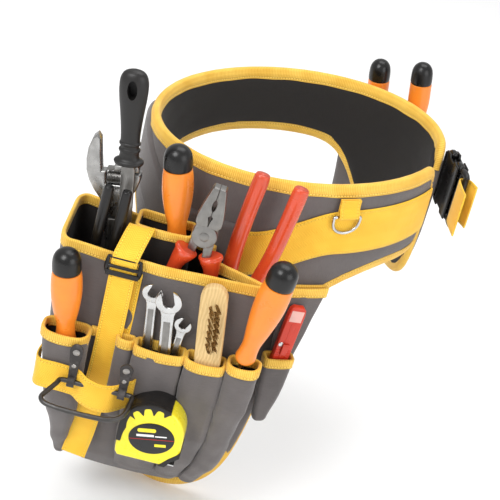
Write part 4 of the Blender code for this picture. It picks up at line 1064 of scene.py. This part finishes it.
def carve(made, cutter):
    """Cuts one made piece out of another and removes the cutter."""
    change = made.modifiers.new("carve", "BOOLEAN")
    change.operation, change.solver, change.object = "DIFFERENCE", "EXACT", cutter
    bpy.context.view_layer.update()
    fresh = bpy.data.meshes.new_from_object(made.evaluated_get(bpy.context.evaluated_depsgraph_get()))
    made.modifiers.clear()
    made.data = fresh
    bpy.data.objects.remove(cutter, do_unlink=True)
    made.data.shade_smooth()
    made.data.set_sharp_from_angle(angle=math.radians(38))


def lobed(name, profile, finish, body, stands=(), place=None, lobes=0, depth=0.0, sides=48, flat=1.0, spacing=1.2,
          crease=35):
    """A handle body from (height, radius) points whose section is lobed or flattened."""
    spots = spline(profile, spacing)
    turns = np.linspace(0, 2 * math.pi, sides, endpoint=False)
    grid = []
    for h, r in spots:
        size = r * (1 + depth * np.cos(lobes * turns))
        grid.append(np.stack([size * np.cos(turns), size * flat * np.sin(turns), np.full(sides, h)], axis=1))
    return skin_grid(name, grid, finish, body, stands, wrap=True, crease=crease, place=place)


def driver(name, place, size, blade_radius, blade_length):
    """A screwdriver: soft lobed handle, black end cap and round blade with a flat tip."""
    length, neck, belly, cap = size
    top = length - 24
    handle = [(-4, neck * 0.62), (-3, neck * 0.8), (-0.5, neck * 1.0), (3, neck * 1.07), (9, neck * 0.98),
              (20, neck * 0.96),
              (top * 0.42, neck * 0.4 + belly * 0.52), (top * 0.66, belly * 0.93), (top * 0.86, belly * 0.945),
              (top - 1.2, cap * 1.05), (top - 0.2, cap * 0.98)]
    lobed(name + "_grip", handle, ORANGE, name, (name + "_handle",), place, 3, 0.018)
    dome = [(top - 0.2, cap * 0.92), (top + 0.2, cap * 1.02), (top + 1.6, cap * 1.05), (top + 8, cap * 1.05),
            (top + 14.5, cap * 0.99), (top + 19, cap * 0.83), (top + 22.3, cap * 0.55), (top + 23.8, cap * 0.22),
            (top + 24, 0.1)]
    turned(name + "_dome", dome, PLASTIC, name, (name + "_cap",), place, 40, True, 50)
    turned(name + "_blade", [(-blade_length, 0.3), (-blade_length, blade_radius * 0.55),
                             (-blade_length + 9, blade_radius),
                             (-12, blade_radius), (-3, blade_radius)], CHROME, name, (), place, 20, False)


def spanner(name, place, head, opening, length, thick, tilt):
    """An open-ended spanner: a jaw with parallel flats set at an angle, a waisted shank and a sunk panel."""
    radius, half, shank = head / 2, opening / 2, head * 0.27
    lean = math.radians(tilt)
    edge = math.asin(half / radius * 1.02)
    arc = []
    for t in np.linspace(math.pi / 2 + edge, 2.5 * math.pi - edge, 44):
        arc.append((radius * math.cos(t) * 1.02, radius * math.sin(t) * 0.96))
    slot = [(half, radius * 0.2), (half, -radius * 0.18), (half * 0.55, -radius * 0.42), (-half * 0.55, -radius * 0.42),
            (-half, -radius * 0.18), (-half, radius * 0.2)]
    jaw = [(x * math.cos(lean) - z * math.sin(lean), x * math.sin(lean) + z * math.cos(lean)) for x, z in [*arc, *slot]]
    slab(name + "_jaw", jaw, -thick / 2, thick / 2, CHROME, name, (name,), place, 0.7)
    low = -length
    bar = [(-shank * 1.25, -radius * 0.6), (-shank * 0.95, -radius * 1.1), (-shank * 0.86, -radius * 2.0),
           (-shank, low + 5), (-shank * 0.7, low + 1), (0, low), (shank * 0.7, low + 1), (shank, low + 5),
           (shank * 0.86, -radius * 2.0), (shank * 0.95, -radius * 1.1), (shank * 1.25, -radius * 0.6)]
    slab(name + "_shank", bar, -thick * 0.42, thick * 0.42, CHROME, name, (), place, 0.9)
    rib = [(-shank * 0.5, -radius * 1.7), (-shank * 0.5, low + 14), (shank * 0.5, low + 14),
           (shank * 0.5, -radius * 1.7)]
    slab(name + "_panel", rib, -thick * 0.5, thick * 0.5, STEEL, name, (), place, 0.4)


def half_tool(name, body, stands, place, side, near, disc, handle, jaw, radius, metal, grip, flange=None,
              oval=0.82):
    """Half of a pair of pliers about the local Y axis: jaw, joint, tang and its grip."""
    y0, y1 = (-near, -0.15) if side > 0 else (0.15, near)
    sign = 1 if handle[0][1] > 0 else -1
    edge = [(-side * x, z) for x, z in jaw]
    slab(name + "_jaw", edge, -near, near, metal, body, stands, place, 0.6, 2)
    joint = [(disc * math.cos(a), disc * math.sin(a)) for a in np.linspace(0, 2 * math.pi, 40, endpoint=False)]
    slab(name + "_joint", joint, y0, y1, metal, body, (), place, 0.9)
    reach = jaw[0][1] * 1.35
    web = [(-side * 0.4, reach), (-side * disc * 0.86, reach), (-side * disc * 0.95, -0.2 * sign), (-side * 0.5, 0)]
    slab(name + "_web", web, y0 * 0.96, y1 * 0.96, metal, body, (), place, 0.5)
    hx, hz = handle[0]
    neck = [(side * hx * 0.1, 0), (side * disc * 0.92, 0.2 * sign), (side * (hx + 4.5), hz + 9 * sign),
            (side * (hx - 3.5), hz + 9 * sign)]
    slab(name + "_tang", neck, y0 * 0.9, y1 * 0.9, metal, body, (), place, 0.8)
    path = [(side * x, 0, z) for x, z in handle]
    sizes = [radius * 0.7] + [radius] * (len(path) - 2) + [radius * 0.98]
    end = np.array(path[-1]) + (np.array(path[-1]) - np.array(path[-2])) / np.linalg.norm(
        np.array(path[-1]) - np.array(path[-2])) * radius * 0.35
    path.append(tuple(end))
    sizes.append(radius * 0.45)
    if flange:
        path = [(side * flange[0][0], 0, flange[0][1]), (side * flange[1][0], 0, flange[1][1])] + path[2:]
        sizes = [flange[2], flange[2] * 0.97] + sizes[2:]
    rod(name + "_grip", path, sizes, grip, body, (), place, 24, spacing=1.8, flat=oval, up=(1, 0, 0))


def brush_wires(name, place):
    """Slanting rows of wire tufts on the brush face, each a splayed bundle of tapering wires."""
    chance = np.random.default_rng(77)
    points, faces = [], []
    for row in range(7):
        for col in range(2):
            foot = np.array((-2.6 + col * 5.6, -4.6, -14.5 + row * 7.0 + col * 2.6))
            for _ in range(15):
                root = foot + np.array((chance.normal() * 0.55, 0, chance.normal() * 0.55))
                lean = np.array((4.6 + chance.normal() * 0.6, 0, chance.normal() * 0.6 - 1.8))
                tip = root + lean + (0, -11.0 - chance.uniform(0, 1.2), 0)
                bow = np.array((chance.normal() * 0.4, 0, chance.normal() * 0.4))
                base = len(points)
                for t, r in ((0, 0.42), (0.5, 0.4), (1.0, 0.3)):
                    spot = root * (1 - t) + tip * t + bow * math.sin(math.pi * t)
                    for k in range(4):
                        a = k * math.pi / 2
                        points.append(spot + (r * math.cos(a), 0, r * math.sin(a)))
                for level in range(2):
                    for k in range(4):
                        m = (k + 1) % 4
                        a, b = base + level * 4, base + level * 4 + 4
                        faces.append((a + k, a + m, b + m, b + k))
                faces.append(tuple(base + k for k in range(4)))
                faces.append(tuple(base + 8 + k for k in range(4)))
    return make(name, points, faces, BRISTLE, "brush", None, ("brush_bristles",), place, 60)


def ellipse(cx, cz, a, b, count=48):
    return [(cx + a * math.cos(t), cz + b * math.sin(t)) for t in np.linspace(0, 2 * math.pi, count, endpoint=False)]


def build_drivers():
    large, small = (104.0, 9.5, 15.8, 13.2), (96.0, 7.5, 12.6, 11.2)
    driver("driver_centre", frame_at(-92.5, -165, -26, -9.5), large, 3.4, 80)
    driver("driver_left", frame_at(-173.5, -222.2, -127, -7, 3), large, 3.4, 75)
    driver("driver_right", frame_at(-2.0, -219.9, -99.8, 8.5, 3.5), (118.0, 9.4, 16.2, 13.6), 3.0, 62)
    driver("driver_far_left", frame_at(80, 158, -22, -7), small, 2.8, 45)
    driver("driver_far_right", frame_at(124.8, 137, -5, -7.5), small, 2.8, 40)


def build_wrench_and_file():
    wrench = frame_at(-166, -146.5, 30, -9)
    body = [(-8, -150), (-5, -154), (5, -154), (8, -150), (8.6, -100), (9.5, -60), (12, -40), (17, -30), (22, -22),
            (25.4, -12), (25.5, -5.4), (8.4, -5.4), (8.4, -19), (-8, -19), (-8, -5.4), (-12, -5.4), (-12.6, 12),
            (-13, 28),
            (-16, 33), (-20.5, 29), (-25, 18), (-27, 6), (-27, -6), (-24.6, -16), (-20, -26), (-14, -35), (-10.5, -46),
            (-9.5, -60), (-8.6, -100)]
    slab("wrench_frame", body, -6, 6, FORGED, "wrench", ("wrench_body",), wrench, 2.2, 4)
    panel = [(-5, -140), (5, -140), (6, -70), (5, -56), (-5, -56), (-6, -70)]
    slab("wrench_panel", panel, -6.35, 6.35, STEEL, "wrench", (), wrench, 0.4)
    jaw = [(0, -4.6), (23.6, -4.6), (24, -1), (22.6, 5), (20.5, 14), (16.6, 23), (13, 27), (9.6, 27.4), (8.2, 25),
           (8, 12),
           (7.6, 1.5), (0, 1.2)]
    slab("wrench_jaw_plate", jaw, -5.2, 5.2, FORGED, "wrench_jaw", ("wrench_jaw",), wrench, 1.3, 3)
    rack = [(x, -4.4 - (0.0 if k % 2 else 1.1)) for k, x in enumerate(np.linspace(-7, 7.4, 13))]
    slab("wrench_rack", [(-7, -2.4), *rack, (7.4, -2.4)], -3.2, 3.2, STEEL, "wrench_jaw", (), wrench, 0.0)
    worm = wrench @ Matrix.Translation((0, 0, -12.6)) @ Matrix.Rotation(math.pi / 2, 4, "Y")
    profile = [(-7.4, 0.1), (-7.4, 3.6)]
    for x in np.arange(-6.8, 6.6, 1.5):
        profile += [(x, 4.7), (x + 0.45, 5.7), (x + 0.85, 5.7), (x + 1.25, 4.7)]
    turned("worm_wheel", [*profile, (7.4, 3.6), (7.4, 0.1)], STEEL, "wrench_worm", ("wrench_worm",), worm, 36, False,
           30)
    file = frame_at(-151.5, -168, 46, -6.2)
    grip = [(0.4, 8.0), (0.6, 12.0), (1.6, 13.2), (4.2, 13.4), (6.4, 10.2), (9, 8.9), (13.4, 8.7), (14.4, 9.7),
            (16.6, 9.7),
            (17.6, 8.6), (20.4, 8.6), (21.4, 9.6), (23.4, 9.6), (24.6, 8.8), (34, 9.0), (52, 10.6), (68, 12.4),
            (80, 13.0),
            (88, 12.2), (93.5, 9.4), (96, 4.5), (96.4, 0.2)]
    made = lobed("file_grip", grip, RUBBER, "file", ("file_handle",), file, 2, 0.05, 56, 0.78, 1.0)
    cutter = slab("hole_cutter", ellipse(0, 79, 4.6, 9.5, 40), -20, 3.0, RUBBER, "file", (), file, 0.0)
    carve(made, cutter)
    blade = [(-6.4, -190), (6.4, -190), (6.5, -4), (3, 0.6), (-3, 0.6), (-6.5, -4)]
    slab("file_steel", blade, -2.5, 2.5, STEEL, "file", ("file_blade",), file, 0.5, 2)


def build_pliers():
    cutter = frame_at(-160.5, -187, -92, 3)
    grip = [(6.4, 18), (8.6, 60), (8.8, 116)]
    edge = [(0.3, -9.0), (8.0, -9.5), (6.5, -22), (2.4, -46), (0.3, -46)]
    for side, name, body in ((-1, "left", "cutter_jaw"), (1, "right", "cutter")):
        half_tool("cutter_" + name, body, ("cutter_" + name,), cutter, side, 4.5, 8.5, grip, edge, 5.0, STEEL, PLASTIC)
    pliers = frame_at(-66.5, -188.7, 4, 5)
    grip = [(7.4, -13), (13, -26), (17.5, -40), (20, -70), (18.5, -112)]
    edge = [(0.3, 11.0), (9.6, 10.0), (12.4, 14), (12.6, 20), (10.6, 33), (7.8, 46), (6.6, 52), (5.2, 53.4),
            (0.3, 53.4),
            (0.2, 41.5), (1.3, 40), (2.0, 37), (2.0, 33), (1.3, 30), (0.2, 28.5), (0.2, 24), (2.2, 21.5), (0.9, 17)]
    for side, name, body in ((-1, "left", "pliers_jaw"), (1, "right", "pliers")):
        half_tool("pliers_" + name, body, ("pliers_" + name, "pliers_sleeve_" + name), pliers, side, 5.5, 12.2, grip,
                  edge,
                  7.2, STEEL, RED, ((11.9, -21.2), (12.9, -24.5), 11.2), 0.86)
        collar = [(0, 9.6), (0.4, 11.0), (3.4, 11.4), (5.0, 10.4), (7.5, 8.2)]
        turn = Matrix.Rotation(math.radians(180 - 20 * side), 4, "Y")
        spot = pliers @ Matrix.Translation((11.5 * side, 0, -19.6)) @ turn
        lobed(f"pliers_guard_{name}", collar, RED, body, (), spot, 4, 0.04, 40, 0.8, 0.8)
    pin = pliers @ Matrix.Rotation(math.pi / 2, 4, "X")
    turned("pliers_pin", [(5.3, 4.8), (6.0, 4.6), (6.5, 3.6), (6.6, 0.1)], STEEL, "pliers", (), pin, 28, False)
    turned("pliers_pin_back", [(-6.6, 0.1), (-6.5, 3.6), (-6.0, 4.6), (-5.3, 4.8)], STEEL, "pliers", (), pin, 28, False)
    pincer = frame_at(-30, -163, -107.6, 7.4)
    grip = [(8.4, 22), (13, 50), (17.4, 90), (19, 130), (19.3, 170)]
    edge = [(0.3, -14), (13, -14.5), (14, -22), (12, -32), (5, -46), (0.3, -46)]
    for side, name, body in ((-1, "left", "pincer_jaw"), (1, "right", "pincer")):
        half_tool("pincer_" + name, body, ("pincer_" + name,), pincer, side, 5.5, 13, grip, edge, 7.8, STEEL, RED)


def build_small_tools():
    spanner("spanner_back", frame_at(-101, -214.2, -57, -5), 20, 8.5, 98, 3.4, -24)
    spanner("spanner_front", frame_at(-84, -219.6, -59, -6), 25, 11, 104, 4.2, 12)
    spanner("spanner_small", frame_at(-66.5, -215.4, -83, 4), 17, 7.4, 72, 3.2, -20)
    brush = frame_at(-39.6, -219.4, -77, -6)
    block = spline([(-8, -79), (8, -79), (9.2, -60), (11.6, -46), (12.9, -30), (13.0, 30), (11.8, 41), (7, 47.4),
                    (0, 49.3), (-7, 47.4), (-11.8, 41), (-13.0, 30), (-12.9, -30), (-11.6, -46), (-9.2, -60)], 2.5,
                    True)
    slab("brush_paddle", [tuple(p) for p in block], -4.8, 4.8, WOOD, "brush", ("brush_block",), brush, 2.0, 4)
    brush_wires("brush_wire_tufts", brush)
    knife = KNIFE_POCKET @ frame_at(1, -21.6, -128, 6)
    body = [(-8.8, -44), (8.8, -44), (9, 44), (8, 50), (5, 53), (-5, 53), (-8, 50), (-9, 44)]
    slab("knife_case", body, -3.7, 3.7, RED_CASE, "knife", ("knife_body",), knife, 1.6, 4)
    slab("knife_track", rect(-2.2, -30, 2.2, 34), -3.95, -3.4, RED_CASE, "knife", (), knife, 0.2)
    slab("knife_label", rect(-6.4, 36, 6.4, 49), -3.95, -3.5, LABEL, "knife", (), knife, 0.15)
    for k in range(9):
        z = -26 + k * 3.2
        for side in (-1, 1):
            slab(f"knife_rib_{k}_{'left' if side < 0 else 'right'}",
                 [(side * 3.6, z), (side * 8.2, z), (side * 8.2, z + 1.6), (side * 3.6, z + 1.6)], -4.3, -3.4, RED_CASE,
                 "knife", (), knife, 0.3, 2)
    turned("knife_dot", [(0, 2.6), (0.5, 2.6), (0.9, 1.9), (1.0, 0.1)], CHROME, "knife", (),
           knife @ Matrix.Translation((-5.2, -3.6, 8)) @ Matrix.Rotation(math.pi / 2, 4, "X"), 24, False)
    button = [(-3.2, -3.6), (3.2, -3.6), (3.4, 9.4), (-3.4, 9.4)]
    slab("knife_button", button, -6.2, -4.1, RED_CASE, "knife_slider", ("knife_slider",), knife, 0.7)


def build_tape():
    tape = frame_at(-71.5, -244.8, -187, 0, -6)
    case = [(-31.5, -20), (-31.5, 2)]
    case += [(-31.5 * math.cos(a), 2 + 30 * math.sin(a)) for a in [k * math.pi / 30 for k in range(1, 30)]]
    case += [(31.5, 2), (31.5, -18), (24, -24), (20, -31), (-28, -31), (-31, -27)]
    slab("tape_shell", case, -15, 15, YELLOW_CASE, "tape", ("tape_case",), tape, 3.2, 5)
    outer = [(-32.2, -14), (-32.2, 2)]
    outer += [(-32.2 * math.cos(a), 2 + 30.7 * math.sin(a)) for a in np.radians(np.arange(5, 122, 4.5))]
    inner = []
    for degrees in np.arange(120, -1, -2.0):
        a = math.radians(degrees)
        notch = 0.5 + 0.5 * math.cos(math.radians((degrees - 6) * 360 / 27))
        depth = (3.4 + 7.2 * notch ** 3) * min(1.0, (122 - degrees) / 14 + 0.12)
        depth = depth if degrees > 32 else 4.5 + 2.4 * (32 - degrees) / 32
        inner.append((-(31.5 - depth) * math.cos(a), 2 + (30 - depth) * math.sin(a)))
    inner += [(-26.5, -4), (-27.5, -14)]
    for name, y0, y1 in (("front", -15.7, -9.0), ("back", 9.0, 15.7)):
        slab("tape_grip_" + name, [*outer, *inner], y0, y1, RUBBER, "tape", (), tape, 0.6, 2)
    band = [*outer, *[(x * 0.955, 2 + (z - 2) * 0.955) for x, z in reversed(outer)]]
    slab("tape_grip_band", band, -10, 10, RUBBER, "tape", (), tape, 0.3, 2)
    corner = [(19.6, -31.6), (24.4, -24.6), (32.1, -18.4), (32.1, -12), (28.6, -15), (21.4, -21.5), (15.6, -28),
              (13, -31.6)]
    slab("tape_corner", corner, -15.5, 15.5, RUBBER, "tape", (), tape, 0.6, 2)

    def on_face(points):
        """Points of the front label, turned a little about its middle as it is printed."""
        turn = math.radians(11)
        return [(1.5 + x * math.cos(turn) - z * math.sin(turn), -3.4 + x * math.sin(turn) + z * math.cos(turn))
                for x, z in points]

    slab("tape_face", on_face(ellipse(0, 0, 22.4, 16.8)), -15.75, -14.6, BLACK_FACE, "tape", (), tape, 0.35, 2)
    slab("tape_face_back", ellipse(1.5, -3.4, 22.4, 16.8), 14.6, 15.6, BLACK_FACE, "tape", (), tape, 0.35, 2)
    slab("tape_red_line", on_face(rect(-21.6, -1.0, 21.6, -0.5)), -15.95, -15.4, RED_LINE,
         "tape", (), tape, 0.0)
    badge = [(-13.4, 8.2), (-12.2, 7.0), (3.4, 7.0), (4.6, 8.2), (4.6, 9.8), (3.4, 11.0), (-12.2, 11.0), (-13.4, 9.8)]
    slab("tape_badge", on_face(badge), -15.98, -15.4, YELLOW_CASE, "tape", (), tape, 0.1, 2)
    for k, (x0, x1, z, tall) in enumerate(((-14.5, 2.5, 2.2, 2.4), (3.6, 15.0, 2.2, 1.2))):
        slab(f"tape_bar_{k}", on_face(rect(x0, z, x1, z + tall)), -15.97, -15.4, LABEL_WHITE,
             "tape", (), tape, 0.0)
    slab("tape_bar_low", on_face(rect(3, -8.4, 14, -5.6)), -15.97, -15.4, YELLOW_CASE, "tape", (),
         tape, 0.0)
    hook = rect(9, -32.9, 28, -31.4)
    slab("tape_hook", hook, -8, 8, CHROME, "tape_blade", ("tape_blade",), tape, 0.3, 2)


build_studio()
build_belt()
build_webbing()
build_buckle()
build_pouch()
build_straps()
build_drivers()
build_wrench_and_file()
build_pliers()
build_small_tools()
build_tape()
